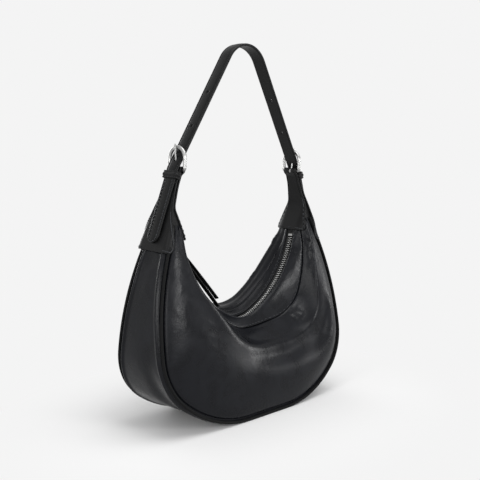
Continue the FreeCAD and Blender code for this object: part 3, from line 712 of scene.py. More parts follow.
def metal_finish(name, tint, polish):
    """Plated metal with fine handling marks."""
    s = Shader(name)
    marks = s.noise(s.place((1.0, 6.0, 1.0)), 420.0, detail=4.0, warp=0.3)
    cloud = s.noise(s.place(), 90.0, detail=2.0)
    s.set(Base_Color=s.mix(cloud, brighter(tint, 0.9), tint), Metallic=1.0,
          Roughness=polish + 0.10 * marks, Normal=s.bump(marks, distance=0.00001, strength=0.2))
    return s.material


def board_finish(name, tint):
    """Pressed stiffening board."""
    s = Shader(name)
    flecks = s.noise(s.place(), 600.0, detail=4.0)
    s.set(Base_Color=s.mix(flecks, brighter(tint, 0.7), brighter(tint, 1.3)), Roughness=0.7 + 0.1 * flecks,
          Normal=s.bump(flecks, distance=0.0002, strength=0.5))
    return s.material


# maker, colour and further values of each material, by their names
FINISHES = {
    "body_leather": (leather_finish, "leather", {"sheen": 0.12, "crumple": 1.0, "gloss": 0.145}),
    "strap_leather": (leather_finish, "strap_leather", {"sheen": 0.24, "crumple": 0.3, "gloss": 0.135}),
    "piping_leather": (leather_finish, "strap_leather", {"sheen": 0.42, "crumple": 0.3, "gloss": 0.07}),
    "thread": (thread_finish, "thread", {}),
    "tape": (weave_finish, "tape", {"pitch": 0.0007}),
    "lining": (weave_finish, "lining", {"pitch": 0.0009}),
    "zip_metal": (metal_finish, "metal", {"polish": 0.20}),
    "buckle_metal": (metal_finish, "metal", {"polish": 0.30}),
    "board": (board_finish, "board", {}),
}


@functools.cache
def finish(name):
    """One of the bag's materials, made when it is first asked for."""
    maker, tint, values = FINISHES[name]
    return maker(name, getattr(bpy.context.scene.bag_finishes, tint), **values)


# Form of the bag

# grids: columns from horn to horn, rows across
COLUMNS, ROWS = 241, 84
FACING_ROWS = 22
TAIL_STEPS = 5
GUSSET_COLUMNS, GUSSET_ROWS = 321, 64
CAP_ROWS = 6
PIPING_POINTS = 421
TAPE_ROWS = 7
LINING_COLUMNS, LINING_ROWS = 121, 40
GUSSET_LINING_COLUMNS, GUSSET_LINING_ROWS = 161, 14

# where along the bag the folds change
EASED_MIDDLE = 0.05
EASED = (0.2, 0.6)
LOOSE_LEFT = (-0.6, -0.3)
CRISP_RIGHT = (0.08, 0.4)
HOLLOW_START, HOLLOW_END = (-0.3, 0.2), (0.3, 0.55)
TUCKED = (0.84, 1.0)

# tight bend of a fold: how its reach grows past the left end and shrinks where the fold is crisp, its reach
# at most as a share of the way to the facing, how it stands out below, and how it dips above
LIP_LOOSE, LIP_CRISP, LIP_MOST = 2, 2.2, 0.3
LIP_OUT, LIP_HOLLOW, LIP_BELOW = 0.16, 0.35, 1.3
CRISP_DIP = 0.25
EASE_SAMPLES = 7


def side_of(back):
    """Name of a panel's side and the sign of its Y."""
    return ("back", 1) if back else ("front", -1)


class BagForm:
    """Where the leather lies: u runs from horn to horn, -1 to 1."""

    def __init__(self):
        self.body = bpy.context.scene.bag_body
        self.zip = bpy.context.scene.bag_zip
        self.lay_seam()
        self.lay_zip()

    def lay_seam(self):
        """Half outline of the gusset seam, from the middle of the base to a horn."""
        body = self.body
        half = body.bag_length / 2
        turn_sine = math.sin(body.base_arc_turn)
        base_run = half - body.base_arc_radius * turn_sine - body.corner_radius * (1 - turn_sine)
        self.steps = [(base_run, 0), (body.base_arc_radius, body.base_arc_turn),
                      (body.corner_radius, math.pi / 2 - body.base_arc_turn),
                      (body.side_arc_radius, body.side_arc_turn), (body.horn_run, 0)]
        self.shrink = math.cos(body.seam_lean)
        self.horn_x, self.horn_z = self.outline(1.0, 0.0)
        widest = (body.base_arc_radius * (1 - math.cos(body.base_arc_turn))
                  + body.corner_radius * math.cos(body.base_arc_turn))
        self.side_top_x = half - body.side_arc_radius * (1 - math.cos(body.side_arc_turn))
        self.side_top_z = (widest + body.side_arc_radius * math.sin(body.side_arc_turn)) * self.shrink

    def lay_zip(self):
        """Half path of the chain: a bend in the middle and a side arc that ends at the horn."""
        chain = self.zip
        low, sine, cosine = chain.low_radius, math.sin(chain.end_angle), math.cos(chain.end_angle)
        end_x = self.horn_x - chain.end_inset
        above = self.horn_z - chain.end_drop - chain.zip_height - low
        reach = end_x * sine - low - above * cosine
        self.side_radius = (end_x ** 2 + above ** 2 - low ** 2) / (2 * reach)
        low_turn = math.atan2(self.side_radius * sine - end_x, above + self.side_radius * cosine)
        self.zip_steps = [(low, low_turn), (self.side_radius, chain.end_angle - low_turn)]
        self.zip_half = sum(radius * turn for radius, turn in self.zip_steps)
        self.zip_end = self.zip_point(1.0)[0]

    def outline(self, u, inset):
        """X and Z of the seam's outline, or of a line inside it."""
        x, rise = trace((0.0, 0.0), self.steps, abs(u), inset)[:2]
        return math.copysign(x, u), rise * self.shrink

    def depth(self, z):
        """Distance of the seams from the zip plane at a height."""
        return self.body.base_depth / 2 - z * math.tan(self.body.seam_lean)

    def zip_point(self, u):
        """Chain middle, its upward normal and its direction towards +X."""
        x, z, heading = trace((0.0, self.zip.zip_height), self.zip_steps, abs(u))
        side = math.copysign(1.0, u)
        normal = np.array([-side * math.sin(heading), 0.0, math.cos(heading)])
        along = np.array([math.cos(heading), 0.0, side * math.sin(heading)])
        return np.array([side * x, 0.0, z]), normal, along

    def fold(self, u, back):
        """Crest of the soft fold of a panel."""
        body, part = self.body, abs(u)
        if back:
            start = (0.0, body.back_fold_height)
            steps = [(body.back_fold_radius, body.back_fold_turn),
                     (body.back_fold_top_radius, body.back_fold_top_turn)]
            bulge, middle = body.back_fold_mid_depth, body.back_fold_depth
        else:
            start = (0.0, body.front_fold_height)
            bulge, middle = body.front_fold_mid_depth, body.front_fold_depth
            if u < 0:
                steps = [(body.left_fold_radius, body.left_fold_turn), (body.left_fold_rise, 0),
                         (body.left_fold_top_radius, body.left_fold_top_turn), (body.left_fold_rise / 2, 0)]
            else:
                rise = self.horn_z - body.front_fold_height - body.right_fold_radius
                steps = [(body.right_fold_flat, 0), (body.right_fold_radius, body.right_fold_turn),
                         (rise, 0)]
        x, z = trace(start, steps, part)[:2]
        end_x, end_z = trace(start, steps, 1.0)[:2]
        ease = part * part
        x += (self.zip_end[0] + (self.horn_x - self.zip_end[0]) * body.fold_end_share - end_x) * ease
        z += (self.horn_z - body.fold_end_drop - end_z) * ease
        horn_half = self.depth(self.horn_z) - body.leather
        y = middle + (bulge - middle) * math.sin(math.pi * part) + (horn_half - middle) * ease * part
        x -= body.horn_tuck * float(smooth(*TUCKED, part))
        return np.array([math.copysign(x, u), y if back else -y, z])

    def facing_seam(self, u, back):
        """Point of the seam between a facing and its panel."""
        centre, normal = self.zip_point(u)[:2]
        top = centre + normal * self.zip.facing_lift
        part = self.zip.back_facing_share
        if not back:
            ease = u * u * (3 - 2 * abs(u))
            middle, end = self.zip.front_facing_share, self.zip.front_facing_end_share
            part = middle + (end - middle) * ease
        seam = top + (self.fold(u, back) - top) * part
        seam[1] = side_of(back)[1] * max(abs(seam[1]), self.zip.facing_least)
        return seam

    def panel(self, back, sink=0.0, columns=COLUMNS, rows=ROWS):
        """Outer face of a panel, from the gusset seam over the fold to the facing."""
        body, side = self.body, side_of(back)[1]
        belly = body.back_belly if back else body.front_belly
        grid = []
        for u in np.linspace(-1, 1, columns):
            x, z = self.outline(u, 2 * body.piping_radius + 2 * body.seam_gap)
            foot = np.array([x, side * self.depth(z), z])
            spread = body.fold_blend * (1 - smooth(*EASED, abs(u - EASED_MIDDLE)))
            fold = np.mean([self.fold(u + spread * t, back) for t in np.linspace(-1, 1, EASE_SAMPLES)],
                           axis=0)
            fold = fold - sink * (side * Y_AXIS + Z_AXIS)
            seam = self.facing_seam(u, back) - self.zip_point(u)[1] * sink
            knots = [foot]
            for part in (1 / 3, 2 / 3):
                bulge = belly * (1 - u * u) * 4 * part * (1 - part)
                knots.append(foot + (fold - foot) * part + side * bulge * Y_AXIS)
            crisp = 0.0 if back else float(smooth(*CRISP_RIGHT, u))
            hollow = 0.0 if back else smooth(*HOLLOW_START, u) * (1 - smooth(*HOLLOW_END, u))
            lip = body.fold_lip * (1 + LIP_LOOSE * smooth(*LOOSE_LEFT, u) - LIP_CRISP * crisp)
            lip = min(lip, np.linalg.norm(seam - fold) * LIP_MOST)
            tuck = LIP_OUT - LIP_HOLLOW * hollow
            rise = body.shoulder_puff * (1 - crisp) - body.fold_valley * crisp
            below = fold + unit(knots[-1] - fold) * lip * LIP_BELOW + side * lip * tuck * Y_AXIS
            above = fold + unit(seam - fold) * lip - lip * CRISP_DIP * crisp * Z_AXIS
            middle = (fold + seam) / 2 + rise * (1 - u * u) * Z_AXIS
            knots += [below, fold, above, middle, seam]
            grid.append(spline(knots, rows))
        return np.array(grid)

    def facing(self, back):
        """Outer face of a facing, from beside the chain to its seam."""
        across = side_of(back)[1] * Y_AXIS
        t = np.linspace(0, 1, 4 * FACING_ROWS)[:, None]
        grid = []
        for u in np.linspace(-1, 1, COLUMNS):
            centre, normal = self.zip_point(u)[:2]
            start = centre + normal * self.zip.facing_lift + across * self.zip.facing_start
            seam = self.facing_seam(u, back)
            flat = self.zip.facing_flat_share * (abs(seam[1]) - self.zip.facing_start)
            bend = start + across * flat
            edge = seam + unit(bend - seam) * self.zip.facing_seam
            grid.append(even(start * (1 - t) ** 2 + bend * 2 * t * (1 - t) + edge * t * t, FACING_ROWS))
        steps = np.linspace(0, self.zip.facing_tail, TAIL_STEPS)[1:, None, None]
        first, last = unit(grid[0] - grid[1]), unit(grid[-1] - grid[-2])
        return np.concatenate([grid[0] + first * steps[::-1], grid, grid[-1] + last * steps])


@functools.cache
def form():
    return BagForm()


# Pieces: leather body

# relief: height, size of a lump and seed
PANEL_HOLLOWS = (0.0009, 0.060, 3.1)
BACK_SEED = 5
PANEL_RIPPLES = (0.0003, 0.021, 8.7)
GUSSET_HOLLOWS = (0.0012, 0.045, 7.3)
GUSSET_CREASES = (0.0003, 0.017, 9.1)
FACING_HOLLOWS = (0.0003, 0.022, 5.5)
FACING_CREASES = (0.0002, 0.012, 1.7)
LINING_HANG = (0.0004, 0.02, 2.2)
WRINKLE_SEED = 4.9
UNEVEN = (0.4, 0.006, 1.9)

# where up a panel its ripples grow, and the height of a wrinkled spot in widths
RIPPLES_GROW = (0.3, 0.8)
WRINKLE_TALL = 1.6

# share of the gusset's hollows that lies inwards, and its least share of creases away from the horns
HOLLOW_SINK, CREASE_LEAST = 0.3, 0.15

# ends of the gusset under the tabs: drop as a share of their reach, and width as a share of the gusset's
CAP_DROP, CAP_WIDTH = 0.3, 0.9

# distance from an edge within which the relief fades out
PANEL_FADE, SHOULDER_FADE, EDGE_FADE = 0.012, 0.006, 0.004

# width and depth of the turned edges of a facing, beside the chain and at its seam
FACING_ROLLS = (0.0012, 0.0008), (0.0016, 0.0006)

# where along the bag the gusset stands off the table, and where its creases grow towards the horns
GUSSET_STANDS, GUSSET_HORN = (0.10, 0.22), (0.7, 0.95)
FACING_HORN = (0.3, 0.9)

# wrinkled spots of the panels: place along the bag and up the panel, size, depth and size of a crease
WRINKLES = [(0.80, 0.74, 0.07, 0.0016, 0.009), (0.41, 0.86, 0.06, 0.0007, 0.009),
            (-0.74, 0.34, 0.13, 0.0004, 0.014), (0.62, 0.25, 0.14, 0.0004, 0.014),
            (-0.45, 0.72, 0.14, 0.0003, 0.014)]

# broad swells and hollows of the front panel: place and size along the bag and up the panel, and height
SWELLS = [(0.44, 0.44, 0.15, 0.12, -0.0032), (0.40, 0.20, 0.20, 0.15, 0.0012)]

# dent in the gusset's left side: place and size along the bag and across the gusset, and depth
DENT = (-0.43, -0.016, 0.10, 0.010, 0.0030)


def hills(grid, height, size, seed):
    return height * lumps(grid, size, seed)


def creases(grid, height, size, seed):
    return height * ridges(grid, size, seed)


def panel_relief(grid, u, far, back):
    """Soft hollows of the hide and wrinkled spots, outwards."""
    up = far / far[:, -1:]
    height, size, seed = PANEL_HOLLOWS
    relief = hills(grid, height, size, seed + BACK_SEED * back)
    relief += hills(grid, *PANEL_RIPPLES) * smooth(*RIPPLES_GROW, up)
    if not back:
        for place, around, wide, tall, height in SWELLS:
            relief += height * spot(u[:, None], up, place, around, wide, tall)
    uneven = 1 - UNEVEN[0] + hills(grid, *UNEVEN)
    for place, around, size, depth, crease in WRINKLES:
        here = spot(u[:, None], up, place, around, size, WRINKLE_TALL * size)
        relief += here * uneven * creases(grid, depth, crease, WRINKLE_SEED)
    return relief


def hide(name, grid, normals, relief, thickness, nodes):
    """Piece of body leather with a relief on its outside, down to the table at most."""
    outer = grid + normals * relief[..., None]
    outer[..., 2] = np.maximum(outer[..., 2], 0.0)
    inner = grid - normals * (thickness + np.maximum(0, -relief))[..., None]
    dress(shell(name, outer, inner), finish("body_leather"), "bag", "leather", nodes)


def leather_panel(back):
    bag, (side, sign) = form(), side_of(back)
    grid = bag.panel(back)
    u = np.linspace(-1, 1, COLUMNS)
    far = row_distance(grid)
    from_end = far[:, -1:] - far
    roll, width = bag.body.edge_roll, bag.body.edge_roll_width
    relief = panel_relief(grid, u, far, back)
    relief *= smooth(0, PANEL_FADE, far) * smooth(0, SHOULDER_FADE, from_end)
    relief -= rolled(far, width, roll) + rolled(from_end, width / 3, roll / 3)
    hide(side + "_panel_leather", grid, normals_of(grid, sign * Y_AXIS), relief, bag.body.leather,
         [side + "_panel"])


def gusset_grid(bag, columns, rows, inset, margin):
    """Points of the gusset's strip, closer at its edges."""
    grid = []
    for u in np.linspace(-1, 1, columns):
        x, z = bag.outline(u, inset)
        wide = bag.depth(z) - margin
        grid.append([(x, wide * v, z) for v in np.sin(np.linspace(-math.pi / 2, math.pi / 2, rows))])
    return np.array(grid)


def gusset_normals(grid):
    """Normals of the strip, away from the inside of the bag."""
    along = unit(np.gradient(grid, axis=0))
    return unit(np.stack([along[..., 2], np.zeros(along.shape[:2]), -along[..., 0]], axis=2))


def leather_gusset():
    bag = form()
    body = bag.body
    grid = gusset_grid(bag, GUSSET_COLUMNS, GUSSET_ROWS, 0.0, body.piping_radius + body.seam_gap)
    steps = np.linspace(0, 1, CAP_ROWS + 1)[1:, None, None]
    caps = []
    for end, side in ((grid[0], -1), (grid[-1], 1)):
        way = body.horn_cap * np.array([-side, 0.0, -CAP_DROP])
        caps.append((end + way * steps) * np.array([1.0, CAP_WIDTH, 1.0]))
    grid = np.concatenate([caps[0][::-1], grid, caps[1]])
    u = np.pad(np.linspace(-1, 1, GUSSET_COLUMNS), CAP_ROWS, mode="edge")[:, None]
    y = grid[..., 1]
    edge = np.abs(y[:, :1]) - np.abs(y)
    standing = smooth(*GUSSET_STANDS, np.abs(u))
    horn = smooth(*GUSSET_HORN, np.abs(u))
    relief = (hills(grid, *GUSSET_HOLLOWS) - HOLLOW_SINK * GUSSET_HOLLOWS[0]) * standing
    relief += creases(grid, *GUSSET_CREASES) * (CREASE_LEAST + horn) * standing
    relief -= DENT[-1] * spot(u, y, *DENT[:-1])
    front = y < 0
    bead_at = np.where(front, body.front_bead_inset, body.back_bead_inset)
    relief += body.edge_bead * np.exp(-((edge - bead_at) / body.bead_width) ** 2) * standing
    relief *= smooth(0, EDGE_FADE, edge)
    turn = body.edge_roll_width * np.where(front, body.front_roll, body.back_roll)
    relief -= rolled(edge - body.seam_groove * front, turn, body.edge_roll)
    hide("gusset_leather", grid, gusset_normals(grid), relief, body.leather, ["gusset"])


def seam_point(bag, u, sign, inset, back_off=0.0):
    """Point inside the outline beside one of the gusset's seams."""
    x, z = bag.outline(u, inset)
    return x, sign * (bag.depth(z) - back_off), z


def piping_cord(back):
    bag, (side, sign) = form(), side_of(back)
    radius = bag.body.piping_radius
    path = [seam_point(bag, u, sign, radius) for u in np.linspace(-1, 1, PIPING_POINTS)]
    piece = tube(side + "_piping_cord", np.array(path), radius)
    dress(piece, finish("piping_leather"), "bag", "piping", [side + "_piping"])


def piping_web(back):
    """Sewn edge of the piping's leather, which closes the seam behind the cord."""
    bag, (side, sign) = form(), side_of(back)
    body = bag.body
    grid = np.array([[seam_point(bag, u, sign, body.piping_radius + reach, reach)
                      for reach in (0.0, body.piping_web)] for u in np.linspace(-1, 1, PIPING_POINTS)])
    piece = shell(side + "_piping_web", grid, grid - sign * body.lining * Y_AXIS)
    dress(piece, finish("piping_leather"), "bag", "piping")


def leather_facing(back):
    bag, side = form(), side_of(back)[0]
    grid = bag.facing(back)
    far = row_distance(grid)
    from_end = far[:, -1:] - far
    horn = smooth(*FACING_HORN, np.abs(np.linspace(-1, 1, len(grid))))[:, None]
    relief = hills(grid, *FACING_HOLLOWS) + creases(grid, *FACING_CREASES) * horn
    relief *= smooth(0, EDGE_FADE, far) * smooth(0, EDGE_FADE, from_end)
    relief -= rolled(far, *FACING_ROLLS[0]) + rolled(from_end, *FACING_ROLLS[1])
    normals = normals_of(grid, Z_AXIS)
    piece = shell(side + "_facing_leather", grid + normals * relief[..., None],
                  grid - normals * bag.zip.facing_leather)
    dress(piece, finish("body_leather"), "bag", "leather", [side + "_zip_facing"])


def cloth_lining(name, grid, normals, node):
    piece = shell(name, grid, grid - normals * form().body.lining)
    dress(piece, finish("lining"), "bag", "lining", [node])


def panel_lining(back):
    bag, (side, sign) = form(), side_of(back)
    body = bag.body
    grid = bag.panel(back, body.lining_sink, LINING_COLUMNS, LINING_ROWS)[3:-3, 2:-3]
    normals = normals_of(grid, sign * Y_AXIS)
    clear = body.leather + body.lining_gap + body.lining_room
    outer = grid - normals * (clear + hills(grid, *LINING_HANG))[..., None]
    cloth_lining(side + "_lining_cloth", outer, normals, side + "_lining")


def gusset_lining():
    bag = form()
    body = bag.body
    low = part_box("gusset_lining")[0].z
    margin = body.leather + body.lining_gap + body.lining + body.seam_gap + body.lining_margin
    grid = gusset_grid(bag, GUSSET_LINING_COLUMNS, GUSSET_LINING_ROWS, low, margin)[3:-3]
    cloth_lining("gusset_lining_cloth", grid, gusset_normals(grid), "gusset_lining")


# Pieces: zip

# where along the zip the tapes close in past the last tooth, and by what share
TAPE_CLOSES = (0.975, 0.985)
TAPE_CLOSED = 0.98

# place of the first tooth of the front and of the back row, in pitches
TOOTH_START = (0.6, 0.4)
TOOTH_HEAD = 0.0001
WANDER_SEED = 7

# points along the pull's upper tail, its bend and its lower tail
UPPER_POINTS, BEND_POINTS, LOWER_POINTS = 40, 9, 44


def zip_tape(back):
    """Tape beside the teeth, which closes the gap past the last tooth at the right end."""
    bag, (side, sign) = form(), side_of(back)
    chain = bag.zip
    teeth = chain.row_slit / 2 + chain.tooth_reach + 2 * bag.body.seam_gap
    wide = teeth + chain.tape_width
    grid = []
    for u in np.linspace(-1, 1, COLUMNS):
        centre, normal = bag.zip_point(u)[:2]
        near = teeth * (1 - TAPE_CLOSED * float(smooth(*TAPE_CLOSES, u)))
        grid.append([centre + normal * chain.tape_thickness / 2 + sign * (near + (wide - near) * t) * Y_AXIS
                     for t in np.linspace(0, 1, TAPE_ROWS)])
    tail = np.linspace(0, chain.facing_tail, 4)[1:, None, None]
    grid = np.concatenate([grid, grid[-1] + unit(np.array(grid[-1]) - grid[-2]) * tail])
    piece = shell(side + "_tape_weave", grid, grid - normals_of(grid, Z_AXIS) * chain.tape_thickness)
    dress(piece, finish("tape"), "bag", "zip_tape", [side + "_zip_tape"])


@functools.cache
def repeat_tree():
    """Geometry Nodes tree that sets copies of a piece on points, along and upright as the points say."""
    group = bpy.data.node_groups.new("set_out", "GeometryNodeTree")
    for name, kind in (("Points", "Geometry"), ("Piece", "Object"), ("Size", "Vector"), ("Wander", "Float"),
                       ("Finish", "Material")):
        group.interface.new_socket(name=name, in_out="INPUT", socket_type="NodeSocket" + kind)
    group.interface.new_socket(name="Copies", in_out="OUTPUT", socket_type="NodeSocketGeometry")
    tree = Tree(group)

    def given(name):
        return tree.node("NodeGroupInput", output=name)

    def attribute(name):
        return tree.node("GeometryNodeInputNamedAttribute", {"data_type": "FLOAT_VECTOR"}, {"Name": name},
                         "Attribute")

    ahead = tree.node("FunctionNodeAlignRotationToVector", {"axis": "X", "pivot_axis": "AUTO"},
                      {"Vector": attribute("along")})
    stand = tree.node("FunctionNodeAlignRotationToVector", {"axis": "Z", "pivot_axis": "X"},
                      {"Rotation": ahead, "Vector": attribute("upright")})
    loose = tree.node("FunctionNodeRandomValue", {"data_type": "FLOAT"}, {"Seed": WANDER_SEED}, "Value")
    turn = tree.node("FunctionNodeAxisAngleToRotation", {},
                     {"Axis": (0, 0, 1), "Angle": (loose - 0.5) * given("Wander")})
    rotation = tree.node("FunctionNodeRotateRotation", {"rotation_space": "LOCAL"},
                         {"Rotation": stand, "Rotate By": turn})
    piece = tree.node("GeometryNodeObjectInfo", {}, {"Object": given("Piece")}, "Geometry")
    copies = tree.node("GeometryNodeInstanceOnPoints", {},
                       {"Points": given("Points"), "Instance": piece, "Rotation": rotation,
                        "Scale": given("Size")}, "Instances")
    real = tree.node("GeometryNodeRealizeInstances", {}, {"Geometry": copies}, "Geometry")
    painted = tree.node("GeometryNodeSetMaterial", {}, {"Geometry": real, "Material": given("Finish")},
                        "Geometry")
    tree.plug(group.nodes.new("NodeGroupOutput").inputs["Copies"], painted)
    return group


def set_out(name, places, piece, wander, material):
    """Plain mesh of copies of a small piece; places are (point, along, upright)."""
    points, along, upright = (np.array(column) for column in zip(*places))
    mesh = bpy.data.meshes.new(name)
    mesh.from_pydata([tuple(p) for p in points], [], [])
    for attribute, values in (("along", along), ("upright", upright)):
        mesh.attributes.new(attribute, "FLOAT_VECTOR", "POINT").data.foreach_set("vector", values.ravel())
    obj = add_object(name, mesh)
    tree = repeat_tree()
    modifier = obj.modifiers.new("set_out", "NODES")
    modifier.node_group = tree
    inputs = {"Piece": piece, "Size": (1, 1, 1), "Wander": wander, "Finish": material}
    for item in tree.interface.items_tree:
        if item.in_out == "INPUT" and item.name in inputs:
            modifier[item.identifier] = inputs[item.name]
    evaluated(obj)
    bpy.data.objects.remove(piece)
    for attribute in ("along", "upright"):
        if attribute in obj.data.attributes:
            obj.data.attributes.remove(obj.data.attributes[attribute])
    return obj


def tooth_piece(chain):
    """One tooth: a foot on the tape, a waist and a rounded head beside the slit."""
    head, foot = TOOTH_HEAD, chain.row_slit / 2 + chain.tooth_reach
    half, tall = chain.tooth_length / 2, chain.tooth_height / 2
    loops = []
    # distance across the chain, share of the tooth's length, share of its height
    for y, wide, high in ((head, 0.6, 0.6), (head + 0.0003, 0.95, 0.9), (head + 0.0010, 1.0, 1.0),
                          (head + 0.0014, 0.85, 1.0), (foot - 0.0005, 0.9, 1.0), (foot, 0.8, 0.8)):
        a, b = half * wide, tall * high
        cut = 0.35 * min(a, b)
        loops.append([(a, y, b - cut), (a - cut, y, b), (cut - a, y, b), (-a, y, b - cut),
                      (-a, y, cut - b), (cut - a, y, -b), (a - cut, y, -b), (a, y, cut - b)])
    faces = ring_faces(len(loops), len(loops[0]))
    return make_mesh("tooth", np.concatenate(loops), faces, math.radians(40))


def teeth_row(back):
    bag, side = form(), side_of(back)[0]
    chain = bag.zip
    half = bag.zip_half - bag.side_radius * (chain.end_angle - chain.chain_end_angle)
    count = int(half / chain.tooth_pitch)
    places = []
    for k in range(-count, count):
        far = (k + TOOTH_START[back]) * chain.tooth_pitch
        centre, normal, along = bag.zip_point(far / bag.zip_half)
        places.append((centre, along if back else -along, normal))
    piece = set_out(side + "_teeth_row", places, tooth_piece(chain), 0.0, finish("zip_metal"))
    dress(piece, finish("zip_metal"), "bag", "zip_metal", [side + "_zip_teeth"])


def pull_frame():
    """Pivot and axes of the zip pull: along it, across it and up."""
    for joint in frame["joints"]:
        if joint["name"] == "zip_pull_swing":
            across = -np.array(joint["axis"])
            pivot = np.array(joint["pos_m"])
    chain = form().zip
    nearest = min(np.linspace(-1, 0, 2001), key=lambda u: np.linalg.norm(form().zip_point(u)[0] - pivot))
    normal, along = form().zip_point(nearest)[1:]
    level = np.cross(across, normal)
    lift = normal * math.sin(chain.pull_lift)
    ahead = level * math.cos(chain.pull_lift) + lift
    if ahead @ along < 0:
        ahead = -level * math.cos(chain.pull_lift) + lift
    return pivot, ahead, across, np.cross(ahead, across)


def pull_route(chain):
    """Middle line of the folded strip in the pull's own plane: out, round the link and back."""
    radius = chain.link_wire / 2 + chain.link_play + chain.pull_leather / 2
    tilt = chain.pull_spread / 2
    rows = []
    for t in np.linspace(0, 1, UPPER_POINTS):
        x = chain.pull_upper * (1 - t)
        rows.append((x, radius + x * math.tan(tilt) - chain.tail_sag * (x / chain.pull_upper) ** 2))
    for t in np.linspace(0.1, 0.9, BEND_POINTS):
        rows.append((-radius * math.sin(math.pi * t), radius * math.cos(math.pi * t)))
    for t in np.linspace(0, 1, LOWER_POINTS):
        x = chain.pull_lower * t
        rows.append((x, -radius - x * math.tan(tilt)))
    return np.array(rows)


def zip_pull_strip():
    chain = form().zip
    pivot, ahead, across, up = pull_frame()
    rows = pull_route(chain)
    origin = pivot + ahead * chain.link_length
    path = origin + rows[:, :1] * ahead + rows[:, 1:] * up
    along = unit(np.gradient(path, axis=0))
    side = np.tile(across, (len(path), 1))
    piece = strip("zip_pull_strip", path, side, unit(np.cross(side, along)), chain.pull_width / 2,
                  chain.pull_leather, chain.pull_press, chain.pull_inset)
    dress(piece, finish("strap_leather"), "zip_pull", "leather", ["zip_pull"])


# Pieces: tabs and strap

TAB_SPACING = 0.0008
STRAP_SPACING = 0.0015
WIRE_SPACING = 0.0006
TIP_POINTS = 14
CORE_POINTS = 15
KEEPER_POINTS = 96
KEEPER_CORNER = 1.6
KEEPER_PUFF = 0.35
BUCKLE_CORNER = 1.2
MIRROR = np.array([-1.0, 1.0, 1.0])


